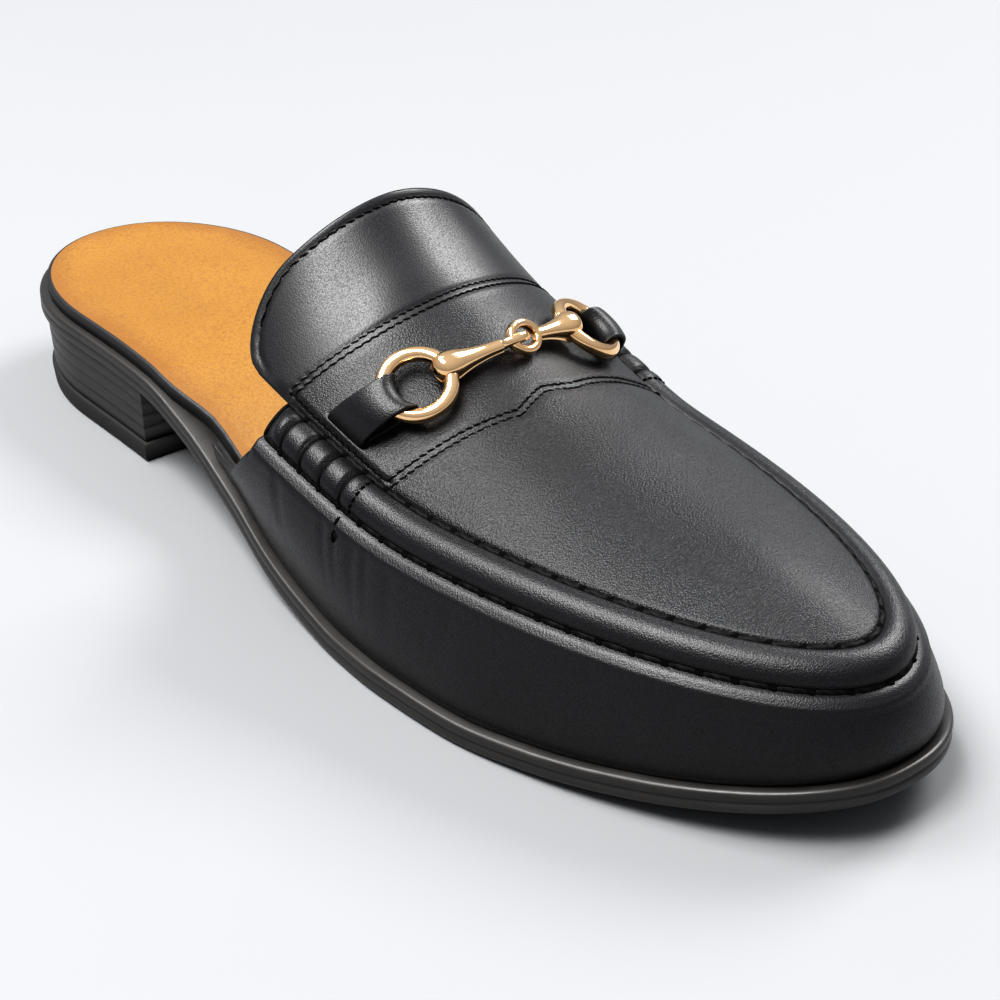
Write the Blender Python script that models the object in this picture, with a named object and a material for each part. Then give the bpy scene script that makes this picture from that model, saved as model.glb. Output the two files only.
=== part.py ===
"""Right shoe of a backless bit loafer (a mule), as separate closed solids.

All sizes are in millimetres and become metres when a mesh is made.  While the
pieces are worked out, x runs from the back of the heel to the toe, y to the
wearer's left (the medial side of a right shoe) and z up from the floor.
"""
import math
from collections import namedtuple

import bmesh
import bpy
from mathutils import Matrix, Vector

MM = 0.001
GAP = 0.3                 # clearance between curved pieces
LATERAL, MEDIAL = -1, 1

# Sole
LENGTH = 285.0            # back of the heel to the tip of the toe
SOLE_THICK = 5.0
EDGE_ROUND = 0.8          # rounding of the sole's edges
HEEL_BREAST = 76.0        # front face of the heel, from the back
LIFT_THICK = 5.0          # rubber top lift under the heel
INSOLE_THICK = 3.0
HEEL_CAP = 0.15           # share of the length that rounds the heel
HEEL_FULLNESS = 2.1       # exponent of that rounding: 2 is an ellipse
HEEL_INSET = 1.0          # heel stack inside the sole's edge, at its top
HEEL_TAPER = 0.8          # and how much narrower it is at its foot
INSOLE_INSET = 1.8        # insole inside the sole's edge, at the open heel
INSOLE_TUCK = 4.0         # and how much more it steps in under the upper
INSOLE_TUCK_X = 84.0      # where it begins to step in, over the next length
INSOLE_TUCK_RUN = 22.0
INSOLE_EDGE = 0.9         # rounding of the insole's upper edge
TOE_CAP_FROM = 0.68       # where the toe begins to round
TOE_FULLNESS = 2.3
AXIS_SWING = 4.0          # medial swing of the sole's centre line at the toe

# Last, measured from the tip of the notch in the saddle's front edge
NOTCH_X = 184.0
NOTCH_Z = 53.0
RIDGE_SLOPE = 0.288       # fall of the instep towards the toe at the notch
RIDGE_BEND_REAR = 0.0057  # rise of that slope towards the tongue, per mm
RIDGE_BEND_FRONT = 0.0018
TOE_SWING = 0.05          # medial swing of the ridge, mm per mm
SWING_FROM = -30.0        # behind this the ridge runs straight
APRON_LENGTH = 88.0       # notch to the front of the apron
APRON_HALF = 36.4         # half width of the apron at the saddle
APRON_SPREAD = 0.0216     # widening of the apron to the rear, mm per mm
APRON_POINT = 1.9         # exponent of the apron's front: 2 is an ellipse
APRON_ROUND = 20.0        # the front begins to round this far behind the notch
SEAM_DROP = 15.4          # apron seam below the ridge at the notch
SEAM_RISE_REAR = 0.279
SEAM_FALL_FRONT = 0.029
SEAM_EASE = 8.0           # length over which one slope turns into the other
CROWN = 1.91              # exponent of the apron's cross section

# Upper
WALL = 2.0                # leather and lining together
WELT_SHOW = 2.5           # sole that shows outside the upper
ROLL_OUT = 6.2            # moccasin roll, outward and down
ROLL_DOWN = 4.9
ROLL_HIGH = 2.9
GROOVE = 0.9              # depth of the stitched groove beside the apron
STRIP = 2.9               # flat strip outside the roll, outward and down
BULGE = 1.6               # belly of the side wall
BELLY_TOP = 0.35          # shares of the wall's height that the belly's handles span
BELLY_FOOT = 0.30
ROLL_END_X = 148.0        # rear end of the roll, where the throat opens
TONGUE_BACK = 49.0        # notch to the tongue's rear edge, on the centre line
TONGUE_CURVE = 0.0072     # the edge runs farther back at its sides
TONGUE_CORNER = 13.0
QUARTER_BACK_X = 110.0    # rear end of the side wall, at the sole
QUARTER_END = 0.10        # share of the wall's height left at that end
QUARTER_FALL = 1.7        # exponent of the top line's fall

# Bit
RING_RADIUS = 7.05
RING_WIRE = 1.6
RING_LIFT = 3.7           # ring's centre above the leather
RING_AHEAD = -13.9        # ring's centre from the notch, along x
RING_SPAN = 20.9          # ring's centre from the middle, along y
RING_PITCH = 0.08         # extra forward tilt of the ring, as a slope
JOINT_AHEAD = -11.0       # where the two bars hook together
JOINT_ASIDE = 1.0         # that place lies this far to the medial side
JOINT_LIFT = 3.6
EYE_WIRE = 0.78
EYE_OVERLAP = 2.8         # distance between the two eyes' centres
EYE_TURN = 0.44           # the medial eye leans to the toe by this angle, in radians
BULB_RADIUS = 3.0
BULB_PAST = 1.05          # the bulb reaches past the ring's wire, in bulb radii
BAR_SIDES = 14
TAB_WIDTH = 10.5
TAB_THICK = 1.2
TAB_EASE = 0.5            # room between the ring's wire and the fold
TAB_SEAT = 0.2            # extra room between the tab and the leather
TAB_CURL = 2.4            # how far the tab stands up where it leaves its slit
TAB_COLUMNS = 8
TAB_FOLD_STEPS = 8
SLIT_REAR = -25.3         # slit that holds the tab, from the notch along x
SLIT_FRONT = -14.9
SLIT_IN = 3.05            # slit from the seam, along y

SoleRow = namedtuple("SoleRow", "at lateral medial underside")
SOLE = (
    SoleRow(0.00, 33.0, 33.0, 20.0),
    SoleRow(0.10, 33.5, 33.5, 20.0),
    SoleRow(0.20, 33.5, 32.5, 20.0),
    SoleRow(0.27, 33.8, 30.5, 19.4),
    SoleRow(0.34, 35.0, 28.5, 15.6),
    SoleRow(0.42, 38.0, 28.5, 9.4),
    SoleRow(0.50, 42.5, 31.5, 4.0),
    SoleRow(0.56, 45.0, 37.0, 1.2),
    SoleRow(0.61, 46.8, 42.0, 0.0),
    SoleRow(0.66, 47.8, 45.6, 0.0),
    SoleRow(0.73, 47.5, 47.6, 0.0),
    SoleRow(0.80, 45.5, 47.4, 0.8),
    SoleRow(0.88, 42.5, 46.0, 3.2),
    SoleRow(0.94, 40.0, 44.5, 6.0),
    SoleRow(1.00, 37.0, 43.0, 9.5),
)


def smooth_step(value):
    value = min(max(value, 0.0), 1.0)
    return value * value * (3 - 2 * value)


def along(table, column, at):
    """Smooth value of a table's column, with no overshoot between rows."""
    keys = [row.at for row in table]
    values = [getattr(row, column) for row in table]
    at = min(max(at, keys[0]), keys[-1])
    steps = [(values[i + 1] - values[i]) / (keys[i + 1] - keys[i]) for i in range(len(keys) - 1)]
    slopes = [steps[0]]
    for before, after in zip(steps, steps[1:]):
        slopes.append(0.0 if before * after <= 0 else 2 * before * after / (before + after))
    slopes.append(steps[-1])
    i = max(k for k in range(len(keys) - 1) if keys[k] <= at or k == 0)
    h = keys[i + 1] - keys[i]
    t = (at - keys[i]) / h
    return (values[i] * (2 * t**3 - 3 * t**2 + 1) + slopes[i] * h * (t**3 - 2 * t**2 + t)
            + values[i + 1] * (3 * t**2 - 2 * t**3) + slopes[i + 1] * h * (t**3 - t**2))


def underside(x):
    return max(along(SOLE, "underside", x / LENGTH), 0.0)


def sole_top(x):
    return underside(x) + SOLE_THICK


def sole_axis(x):
    """Centre line of the sole, which swings to the medial side at the toe."""
    return AXIS_SWING * smooth_step((x / LENGTH - 0.5) / 0.5)


def sole_edge(x, side, inset=0.0):
    """y of the sole's outline on one side, moved in by inset all round."""
    at = x / LENGTH
    half = along(SOLE, "lateral" if side == LATERAL else "medial", at) - inset
    tip = 1.0 - inset / LENGTH
    toe = min(max((at - TOE_CAP_FROM) / (tip - TOE_CAP_FROM), 0.0), 1.0)
    heel = min(max(1.0 - (at - inset / LENGTH) / HEEL_CAP, 0.0), 1.0)
    cap = (1 - toe**TOE_FULLNESS) ** (1 / TOE_FULLNESS)
    cap *= (1 - heel**HEEL_FULLNESS) ** (1 / HEEL_FULLNESS)
    return sole_axis(x) + side * half * cap


def ridge_y(x):
    return TOE_SWING * max(x - NOTCH_X, SWING_FROM)


def ridge_z(x):
    u = x - NOTCH_X
    bend = RIDGE_BEND_REAR if u < 0 else RIDGE_BEND_FRONT
    return NOTCH_Z - RIDGE_SLOPE * u + bend * u * u


def seam_half(x):
    """Half width of the apron between its two seams."""
    u = x - NOTCH_X
    front = min(max((u + APRON_ROUND) / (APRON_LENGTH + APRON_ROUND), 0.0), 1.0)
    widest = APRON_HALF - APRON_SPREAD * min(u, 0.0)
    return widest * (1 - front**APRON_POINT) ** (1 / APRON_POINT)


def seam_z(x):
    u = x - NOTCH_X
    behind = (u - math.hypot(u, SEAM_EASE)) / 2
    return NOTCH_Z - SEAM_DROP - SEAM_FALL_FRONT * u - (SEAM_RISE_REAR - SEAM_FALL_FRONT) * behind


def apron(x, across):
    """Point of the apron at x; across is -1 at the lateral seam, 1 at the medial."""
    drop = (ridge_z(x) - seam_z(x)) * abs(across) ** CROWN
    return Vector((x, ridge_y(x) + across * seam_half(x), ridge_z(x) - drop))


def apron_normal(x, across):
    step = 0.01
    ahead = apron(x + 1.0, across) - apron(x - 1.0, across)
    left = apron(x, across + step) - apron(x, across - step)
    return ahead.cross(left).normalized()


STRAIGHT_X = NOTCH_X                    # in front of this the columns fan out
APRON_X = NOTCH_X + APRON_LENGTH
SPINE_X = NOTCH_X + 0.62 * APRON_LENGTH
FEATHER_X = LENGTH - WELT_SHOW

Column = namedtuple("Column", "seam spine feather out")


def column(side, t):
    """One line over the upper, from its spine to the sole.

    t runs from -1 at the rear end of the roll, through 0, to 1 at the toe.
    """
    if t <= 0:
        x_seam = x_spine = x_feather = STRAIGHT_X + t * (STRAIGHT_X - ROLL_END_X)
    else:
        w = math.sin(t * math.pi / 2)
        k = (APRON_X - STRAIGHT_X) / (SPINE_X - STRAIGHT_X)
        x_seam = STRAIGHT_X + (APRON_X - STRAIGHT_X) * w
        x_feather = STRAIGHT_X + (FEATHER_X - STRAIGHT_X) * w
        x_spine = STRAIGHT_X + (SPINE_X - STRAIGHT_X) * (1 - (1 - w) ** k)
    seam = Vector((x_seam, ridge_y(x_seam) + side * seam_half(x_seam), seam_z(x_seam)))
    spine = Vector((x_spine, ridge_y(x_spine), ridge_z(x_spine)))
    y_feather = sole_edge(x_feather, side, WELT_SHOW)
    feather = Vector((x_feather, y_feather, sole_top(x_feather) + GAP))
    out = Vector((feather.x - seam.x, feather.y - seam.y, 0.0))
    if t <= 0:
        out = Vector((0.0, float(side), 0.0))
    return Column(seam, spine, feather, out.normalized())


APRON_ROWS = (0.0, 0.2, 0.4, 0.58, 0.74, 0.87, 0.95)
ROLL_STEPS = 6
WALL_STEPS = 5
TOE_COLUMNS = 12
SIDE_COLUMNS = 4
FLAP_COLUMNS = 5
QUARTER_COLUMNS = 6
SOLE_STATIONS = 56
INSOLE_STATIONS = 44
HEEL_STATIONS = 22


def apron_rows(col):
    rows = []
    fall = ridge_z(col.seam.x) - col.seam.z
    for rho in APRON_ROWS:
        point = col.spine.lerp(col.seam, rho)
        point.z = ridge_z(point.x) - fall * rho**CROWN
        rows.append(point)
    return rows


def roll_rows(col):
    """The groove and the half-round roll between the two stitched lines."""
    along_roll = col.out * ROLL_OUT - Vector((0.0, 0.0, ROLL_DOWN))
    up = (col.out * ROLL_DOWN + Vector((0.0, 0.0, ROLL_OUT))).normalized()
    rows = []
    for i in range(ROLL_STEPS + 1):
        turn = math.pi * i / ROLL_STEPS
        share = 0.5 - 0.5 * math.cos(turn)
        rows.append(col.seam + along_roll * share + up * (ROLL_HIGH * math.sin(turn) - GROOVE))
    return rows


def fold_point(col):
    """Outer edge of the strip, where the side wall turns down."""
    return col.seam + col.out * (ROLL_OUT + STRIP) - Vector((0.0, 0.0, ROLL_DOWN + STRIP))


def bezier(start, handle_start, handle_end, end, t):
    return (start * (1 - t) ** 3 + handle_start * 3 * t * (1 - t) ** 2
            + handle_end * 3 * t * t * (1 - t) + end * t**3)


def wall_point(col, t):
    """Side wall from the fold (t = 0) to the sole (t = 1), with a slight belly."""
    top = fold_point(col)
    foot = col.feather
    high = top.z - foot.z
    handle_top = top + col.out * BULGE - Vector((0.0, 0.0, BELLY_TOP * high))
    handle_foot = foot + col.out * BULGE + Vector((0.0, 0.0, BELLY_FOOT * high))
    return bezier(top, handle_top, handle_foot, foot, t)


def wall_rows(col, from_top=0.0):
    steps = [from_top + (1 - from_top) * i / WALL_STEPS for i in range(WALL_STEPS + 1)]
    return [wall_point(col, t) for t in steps]


def tongue_edge_x(across):
    """Rear edge of the tongue, rounded at its two corners."""
    y = abs(across) * APRON_HALF
    x = NOTCH_X - TONGUE_BACK - TONGUE_CURVE * y * y
    past = max(y - (APRON_HALF - TONGUE_CORNER), 0.0)
    return x + TONGUE_CORNER - math.sqrt(TONGUE_CORNER**2 - past**2)


def add_grid(bm, lines):
    """Quads between neighbouring lines of points; the lines have equal lengths."""
    grid = [[bm.verts.new(p * MM) for p in line] for line in lines]
    for one, two in zip(grid, grid[1:]):
        for i in range(len(one) - 1):
            bm.faces.new((one[i], one[i + 1], two[i + 1], two[i]))


def make_upper(material):
    """Vamp, roll, tongue and side walls as one sheet, thickened inwards."""
    bm = bmesh.new()
    stations = [-1 + i / SIDE_COLUMNS for i in range(SIDE_COLUMNS)]
    stations += [i / TOE_COLUMNS for i in range(TOE_COLUMNS + 1)]
    around = [(LATERAL, t) for t in stations] + [(MEDIAL, t) for t in reversed(stations[:-1])]
    add_grid(bm, [apron_rows(c) + roll_rows(c) + wall_rows(c)
                  for c in (column(side, t) for side, t in around)])

    across = [side * rho for side, rhos in ((LATERAL, APRON_ROWS[:0:-1]), (MEDIAL, APRON_ROWS))
              for rho in rhos]
    flap = []
    for i in range(FLAP_COLUMNS + 1):
        share = i / FLAP_COLUMNS
        flap.append([apron(ROLL_END_X + (tongue_edge_x(v) - ROLL_END_X) * share, v) for v in across])
    add_grid(bm, [list(reversed(line)) for line in flap])

    for side in (LATERAL, MEDIAL):
        lines = []
        for i in range(QUARTER_COLUMNS + 1):
            share = i / QUARTER_COLUMNS
            x = ROLL_END_X + (QUARTER_BACK_X - ROLL_END_X) * share
            t = (x - STRAIGHT_X) / (STRAIGHT_X - ROLL_END_X)
            cut = (1 - QUARTER_END) * (1 - (1 - share) ** QUARTER_FALL)
            lines.append(wall_rows(column(side, t), cut))
        add_grid(bm, lines if side == MEDIAL else lines[::-1])

    bmesh.ops.remove_doubles(bm, verts=bm.verts, dist=1e-6)
    bmesh.ops.recalc_face_normals(bm, faces=bm.faces)
    top = max(bm.faces, key=lambda f: f.calc_center_median().z)
    if top.normal.z < 0:
        bmesh.ops.reverse_faces(bm, faces=bm.faces)
    upper = finish("upper", bm, material)
    shell = upper.modifiers.new("wall", "SOLIDIFY")
    shell.thickness = WALL * MM
    shell.offset = -1.0
    return upper


def make_slab(name, material, xs, edge, rings):
    """Solid between stacked outlines.

    edge(x, side, inset) gives y; rings are (inset, height function) from the
    top face to the bottom face.
    """
    bm = bmesh.new()
    loops = []
    for inset, height in rings:
        near = [max(min(x, xs[0] - inset), xs[-1] + inset) for x in xs]
        lateral = [Vector((x, edge(x, LATERAL, inset), height(x))) for x in near]
        medial = [Vector((x, edge(x, MEDIAL, inset), height(x))) for x in near]
        loops.append([bm.verts.new(p * MM) for p in lateral + medial[::-1]])
    count = len(loops[0])
    for one, two in zip(loops, loops[1:]):
        for i in range(count):
            j = (i + 1) % count
            bm.faces.new((one[i], one[j], two[j], two[i]))
    for loop in (loops[0], loops[-1]):
        for i in range(count // 2 - 1):
            bm.faces.new((loop[i], loop[i + 1], loop[count - 2 - i], loop[count - 1 - i]))
    bmesh.ops.remove_doubles(bm, verts=bm.verts, dist=2e-5)
    bmesh.ops.dissolve_degenerate(bm, edges=bm.edges, dist=1e-6)
    bmesh.ops.recalc_face_normals(bm, faces=bm.faces)
    return finish(name, bm, material)


def rounded_stations(front, back, count):
    """x from front to back, closer together at both ends."""
    middle, half = (front + back) / 2, (front - back) / 2
    return [middle + half * math.cos(math.pi * i / count) for i in range(count + 1)]


def make_outsole(material):
    rings = (
        (EDGE_ROUND, sole_top),
        (0.0, lambda x: sole_top(x) - EDGE_ROUND),
        (0.0, lambda x: underside(x) + EDGE_ROUND),
        (EDGE_ROUND, underside),
    )
    return make_slab("outsole", material, rounded_stations(LENGTH, 0.0, SOLE_STATIONS), sole_edge, rings)


def insole_inset(x):
    """The insole reaches the sole's edge at the open heel and the wall in front."""
    return INSOLE_INSET + INSOLE_TUCK * smooth_step((x - INSOLE_TUCK_X) / INSOLE_TUCK_RUN)


def insole_edge(x, side, inset):
    return sole_edge(x, side, insole_inset(x) + inset)


def make_insole(material):
    rings = (
        (INSOLE_EDGE, lambda x: sole_top(x) + GAP + INSOLE_THICK),
        (0.0, lambda x: sole_top(x) + GAP + INSOLE_THICK - INSOLE_EDGE),
        (0.0, lambda x: sole_top(x) + GAP),
    )
    xs = rounded_stations(LENGTH - insole_inset(LENGTH), insole_inset(0.0), INSOLE_STATIONS)
    return make_slab("insole", material, xs, insole_edge, rings)


def make_heel_piece(name, material, low, high):
    """A layer of the heel stack; it narrows a little towards the floor."""
    rings = ((HEEL_INSET, high), (HEEL_INSET + HEEL_TAPER, low))
    xs = rounded_stations(HEEL_BREAST, 0.0, HEEL_STATIONS)
    return make_slab(name, material, xs, sole_edge, rings)


def frame_at(x, across, lift):
    """Seat on the apron: a point lifted off the leather and its three axes."""
    up = apron_normal(x, across)
    tilted = (up + Vector((RING_PITCH, 0.0, 0.0))).normalized()
    left = Vector((0.0, 1.0, 0.0))
    left = (left - tilted * left.dot(tilted)).normalized()
    return apron(x, across) + up * lift, left.cross(tilted), left, tilted


def across_of(x, y):
    return (y - ridge_y(x)) / seam_half(x)


def ring_frame(side):
    x = NOTCH_X + RING_AHEAD
    return frame_at(x, across_of(x, side * RING_SPAN), RING_LIFT)


def axes_matrix(centre, ahead, left, up):
    return Matrix((
        (ahead.x, left.x, up.x, centre.x * MM),
        (ahead.y, left.y, up.y, centre.y * MM),
        (ahead.z, left.z, up.z, centre.z * MM),
        (0.0, 0.0, 0.0, 1.0),
    ))


def add_torus(bm, matrix, radius, wire, around=28, section=10):
    lines = []
    for i in range(around):
        turn = 2 * math.pi * i / around
        line = []
        for j in range(section):
            roll = 2 * math.pi * j / section
            reach = radius + wire * math.cos(roll)
            point = Vector((reach * math.cos(turn), reach * math.sin(turn), wire * math.sin(roll)))
            line.append(bm.verts.new(matrix @ (point * MM)))
        lines.append(line)
    for i in range(around):
        one, two = lines[i], lines[(i + 1) % around]
        for j in range(section):
            k = (j + 1) % section
            bm.faces.new((one[j], two[j], two[k], one[k]))


def make_ring(name, side, material):
    bm = bmesh.new()
    add_torus(bm, axes_matrix(*ring_frame(side)), RING_RADIUS, RING_WIRE)
    bmesh.ops.recalc_face_normals(bm, faces=bm.faces)
    return finish(name, bm, material)


def make_tool(name, bm):
    tool = finish(name, bm, None)
    tool.hide_render = True
    tool.hide_viewport = True
    tool.display_type = "WIRE"
    return tool


EYE_RADII = {LATERAL: 2.3, MEDIAL: 2.95}

BarRow = namedtuple("BarRow", "at radius")
BAR = (
    BarRow(0.00, 0.10),
    BarRow(0.03, 0.55),
    BarRow(0.10, 0.88),
    BarRow(0.20, 1.00),
    BarRow(0.33, 0.93),
    BarRow(0.50, 0.70),
    BarRow(0.75, 0.50),
    BarRow(1.00, 0.45),
)


def make_bar(name, side, material):
    """Half of the bit: a bulb that the ring passes through, a neck and an eye."""
    centre, ahead, left, up = ring_frame(side)
    pin = centre - left * side * RING_RADIUS
    x_joint = NOTCH_X + JOINT_AHEAD
    seat = across_of(x_joint, JOINT_ASIDE)
    joint = apron(x_joint, seat) + apron_normal(x_joint, seat) * JOINT_LIFT
    eye = joint + Vector((0.0, side * EYE_OVERLAP / 2, 0.0))
    axis = (eye - pin).normalized()
    start = pin - axis * BULB_RADIUS * BULB_PAST
    eye_radius = EYE_RADII[side]
    length = (eye - axis * eye_radius - start).length
    cross = axis.cross(up).normalized()
    over = cross.cross(axis).normalized()

    bm = bmesh.new()
    lines = []
    for row in BAR:
        radius = BULB_RADIUS * row.radius
        at = start + axis * length * row.at
        turns = [2 * math.pi * k / BAR_SIDES for k in range(BAR_SIDES)]
        lines.append([bm.verts.new((at + (cross * math.cos(a) + over * math.sin(a)) * radius) * MM)
                      for a in turns])
    for one, two in zip(lines, lines[1:]):
        for k in range(BAR_SIDES):
            j = (k + 1) % BAR_SIDES
            bm.faces.new((one[k], one[j], two[j], two[k]))
    bm.faces.new(lines[0])
    bm.faces.new(lines[-1])
    bmesh.ops.recalc_face_normals(bm, faces=bm.faces)
    bar = finish(name, bm, material)

    lean = over * math.cos(EYE_TURN) + cross * (side * -math.sin(EYE_TURN))
    eye_axes = (axis, lean.cross(axis), lean) if side == MEDIAL else (axis, lean, axis.cross(lean))
    bm = bmesh.new()
    add_torus(bm, axes_matrix(eye, *eye_axes), eye_radius, EYE_WIRE, 20, 8)
    bmesh.ops.recalc_face_normals(bm, faces=bm.faces)
    add_boolean(bar, make_tool(name + "_eye", bm), "UNION")

    bm = bmesh.new()
    add_torus(bm, axes_matrix(centre, ahead, left, up), RING_RADIUS, RING_WIRE + GAP)
    bmesh.ops.recalc_face_normals(bm, faces=bm.faces)
    add_boolean(bar, make_tool(name + "_ring_way", bm), "DIFFERENCE")
    return bar


def add_boolean(target, tool, operation):
    cut = target.modifiers.new(operation.lower(), "BOOLEAN")
    cut.operation = operation
    cut.solver = "EXACT"
    cut.object = tool


def leather_height(point, up):
    """Distance along up from a point to the apron's face, below zero when under it."""
    high = 0.0
    for _ in range(4):
        here = point + up * high
        high += (apron(here.x, across_of(here.x, here.y)).z - here.z) * up.z
    return high


def slit_at(side, share):
    """Point of the tab's slit and the leather's normal there; share runs from its rear end."""
    x = NOTCH_X + SLIT_REAR + (SLIT_FRONT - SLIT_REAR) * share
    across = side * (1 - SLIT_IN / seam_half(x))
    return apron(x, across), apron_normal(x, across)


def tab_line(side, share):
    """Middle line of the folded tab at a share of its width.

    It leaves the slit, runs under the ring, folds round the wire and returns.
    """
    centre, ahead, left, up = ring_frame(side)
    out = left * side
    offset = TAB_WIDTH * (share - 0.5)
    wire_at = math.sqrt(RING_RADIUS**2 - offset**2)
    clear = RING_WIRE + TAB_EASE
    bend = clear + TAB_THICK / 2
    reach = clear * RING_RADIUS / wire_at + TAB_THICK / 2
    hub = centre + ahead * offset + out * wire_at
    fold = []
    for i in range(TAB_FOLD_STEPS + 1):
        turn = -math.pi / 2 - math.pi * i / TAB_FOLD_STEPS
        fold.append(hub + out * (reach * math.cos(turn)) + up * (bend * math.sin(turn)))

    slit, normal = slit_at(side, share)
    seat = GAP + TAB_SEAT + TAB_THICK / 2
    low = slit + normal * seat
    under = [low]
    for t in (0.3, 0.65):
        point = low.lerp(fold[0], t)
        under.append(point + up * max(leather_height(point, up) + seat, 0.0))
    high = low + normal * (TAB_THICK + GAP)
    span = (high - fold[-1]).length
    handles = (fold[-1] + out * (0.4 * span), high + normal * TAB_CURL - out * (0.15 * span))
    over = [bezier(fold[-1], *handles, high, t) for t in (0.25, 0.5, 0.75, 1.0)]
    return under + fold + over


def make_tab(name, side, material):
    """Leather loop that holds the ring to the saddle."""
    ahead = ring_frame(side)[1]
    bm = bmesh.new()
    loops = []
    for i in range(TAB_COLUMNS + 1):
        line = tab_line(side, i / TAB_COLUMNS)
        outer, inner = [], []
        for k, point in enumerate(line):
            run = line[min(k + 1, len(line) - 1)] - line[max(k - 1, 0)]
            face = run.cross(ahead).normalized() * (TAB_THICK / 2)
            outer.append(bm.verts.new((point + face) * MM))
            inner.append(bm.verts.new((point - face) * MM))
        loops.append(outer + inner[::-1])
    count = len(loops[0])
    for one, two in zip(loops, loops[1:]):
        for k in range(count):
            bm.faces.new((one[k], one[(k + 1) % count], two[(k + 1) % count], two[k]))
    for loop in (loops[0], loops[-1]):
        for k in range(count // 2 - 1):
            bm.faces.new((loop[k], loop[k + 1], loop[count - 2 - k], loop[count - 1 - k]))
    bmesh.ops.recalc_face_normals(bm, faces=bm.faces)
    return finish(name, bm, material)


def make_material(name, colour, roughness, metallic=0.0):
    material = bpy.data.materials.new(name)
    material.use_nodes = True
    shader = material.node_tree.nodes["Principled BSDF"]
    shader.inputs["Base Color"].default_value = (*colour, 1.0)
    shader.inputs["Roughness"].default_value = roughness
    shader.inputs["Metallic"].default_value = metallic
    return material


def finish(name, bm, material):
    mesh = bpy.data.meshes.new(name)
    bm.to_mesh(mesh)
    bm.free()
    piece = bpy.data.objects.new(name, mesh)
    bpy.context.collection.objects.link(piece)
    if material:
        mesh.materials.append(material)
    return piece


def centre_on_floor():
    """Move every mesh so that the origin is the bottom centre of the shoe's box."""
    points = [v.co for piece in bpy.data.objects if not piece.hide_render for v in piece.data.vertices]
    low = [min(p[k] for p in points) for k in range(3)]
    high = [max(p[k] for p in points) for k in range(3)]
    centre = Vector(((low[0] + high[0]) / 2, (low[1] + high[1]) / 2, low[2]))
    for piece in bpy.data.objects:
        piece.data.transform(Matrix.Translation(-centre))


def main():
    for old in list(bpy.data.objects):
        bpy.data.objects.remove(old, do_unlink=True)
    leather = make_material("black_leather", (0.012, 0.012, 0.013), 0.42)
    tan = make_material("tan_leather", (0.70, 0.36, 0.10), 0.5)
    sole = make_material("sole_leather", (0.015, 0.014, 0.013), 0.5)
    rubber = make_material("black_rubber", (0.02, 0.02, 0.02), 0.7)
    gold = make_material("gold_metal", (0.83, 0.62, 0.30), 0.18, 1.0)

    make_upper(leather)
    make_insole(tan)
    make_outsole(sole)
    make_heel_piece("heel", sole, lambda x: LIFT_THICK + GAP, lambda x: underside(x) - GAP)
    make_heel_piece("top_lift", rubber, lambda x: 0.0, lambda x: LIFT_THICK)
    for word, side in (("lateral", LATERAL), ("medial", MEDIAL)):
        make_tab("tab_" + word, side, leather)
        make_ring("ring_" + word, side, gold)
        make_bar("bar_" + word, side, gold)
    centre_on_floor()


main()
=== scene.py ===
"""Looks of a right black leather bit mule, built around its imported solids.

Shapes are worked out in millimetres in the shoe's own axes: x from the back of the
heel to the toe, y to the medial side, z up.  to_row() moves a point into the frame
that the solids share, in metres.
"""
import math
from collections import namedtuple
from functools import lru_cache, partial

import bmesh
import bpy
from bpy.props import FloatProperty, FloatVectorProperty, PointerProperty
from mathutils import Matrix, Vector


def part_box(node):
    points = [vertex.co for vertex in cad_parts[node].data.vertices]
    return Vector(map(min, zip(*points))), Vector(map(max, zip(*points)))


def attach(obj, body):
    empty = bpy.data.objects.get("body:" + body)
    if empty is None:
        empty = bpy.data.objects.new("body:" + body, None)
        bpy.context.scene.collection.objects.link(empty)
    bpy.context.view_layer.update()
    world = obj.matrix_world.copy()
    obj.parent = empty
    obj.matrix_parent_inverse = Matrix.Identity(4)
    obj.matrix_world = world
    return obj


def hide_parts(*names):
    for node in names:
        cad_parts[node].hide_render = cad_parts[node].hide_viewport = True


bl_info = {
    "name": "Bit mule",
    "version": (1, 0, 0),
    "blender": (4, 5, 0),
    "location": "View3D > Sidebar > Mule",
    "description": "Dresses the solids of a bit mule in leather, thread and gilt metal",
    "category": "Object",
}

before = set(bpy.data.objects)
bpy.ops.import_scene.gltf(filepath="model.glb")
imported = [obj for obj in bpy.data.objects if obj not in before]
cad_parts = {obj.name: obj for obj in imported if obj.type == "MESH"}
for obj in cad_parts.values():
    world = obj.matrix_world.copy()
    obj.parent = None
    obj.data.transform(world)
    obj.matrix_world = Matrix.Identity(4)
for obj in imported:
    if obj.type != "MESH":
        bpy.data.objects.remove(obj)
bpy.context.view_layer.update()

MM = 0.001
GAP = 0.3
LATERAL, MEDIAL = -1, 1
SIDES = (("lateral", LATERAL), ("medial", MEDIAL))
DOWN = Vector((0.0, 0.0, -1.0))

# Sole
LENGTH = 285.0
SOLE_THICK = 5.0
HEEL_BREAST = 76.0
LIFT_THICK = 5.0
INSOLE_THICK = 3.0
HEEL_CAP = 0.15
HEEL_FULLNESS = 2.1
TOE_CAP_FROM = 0.68
TOE_FULLNESS = 2.3
AXIS_SWING = 4.0
AXIS_FROM = 0.5

# Last, measured from the tip of the notch in the saddle's front edge
NOTCH_X = 184.0
NOTCH_Z = 53.0
RIDGE_SLOPE = 0.288
RIDGE_BEND_REAR = 0.0057
RIDGE_BEND_FRONT = 0.0018
TOE_SWING = 0.05
SWING_REAR = -30.0         # the ridge runs straight back from here
APRON_LENGTH = 88.0
APRON_HALF = 36.4
APRON_SPREAD = 0.0216
APRON_POINT = 1.9
APRON_ROUND = 20.0
SEAM_DROP = 15.4
SEAM_RISE_REAR = 0.279
SEAM_FALL_FRONT = 0.029
SEAM_EASE = 8.0
CROWN = 1.91

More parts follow.
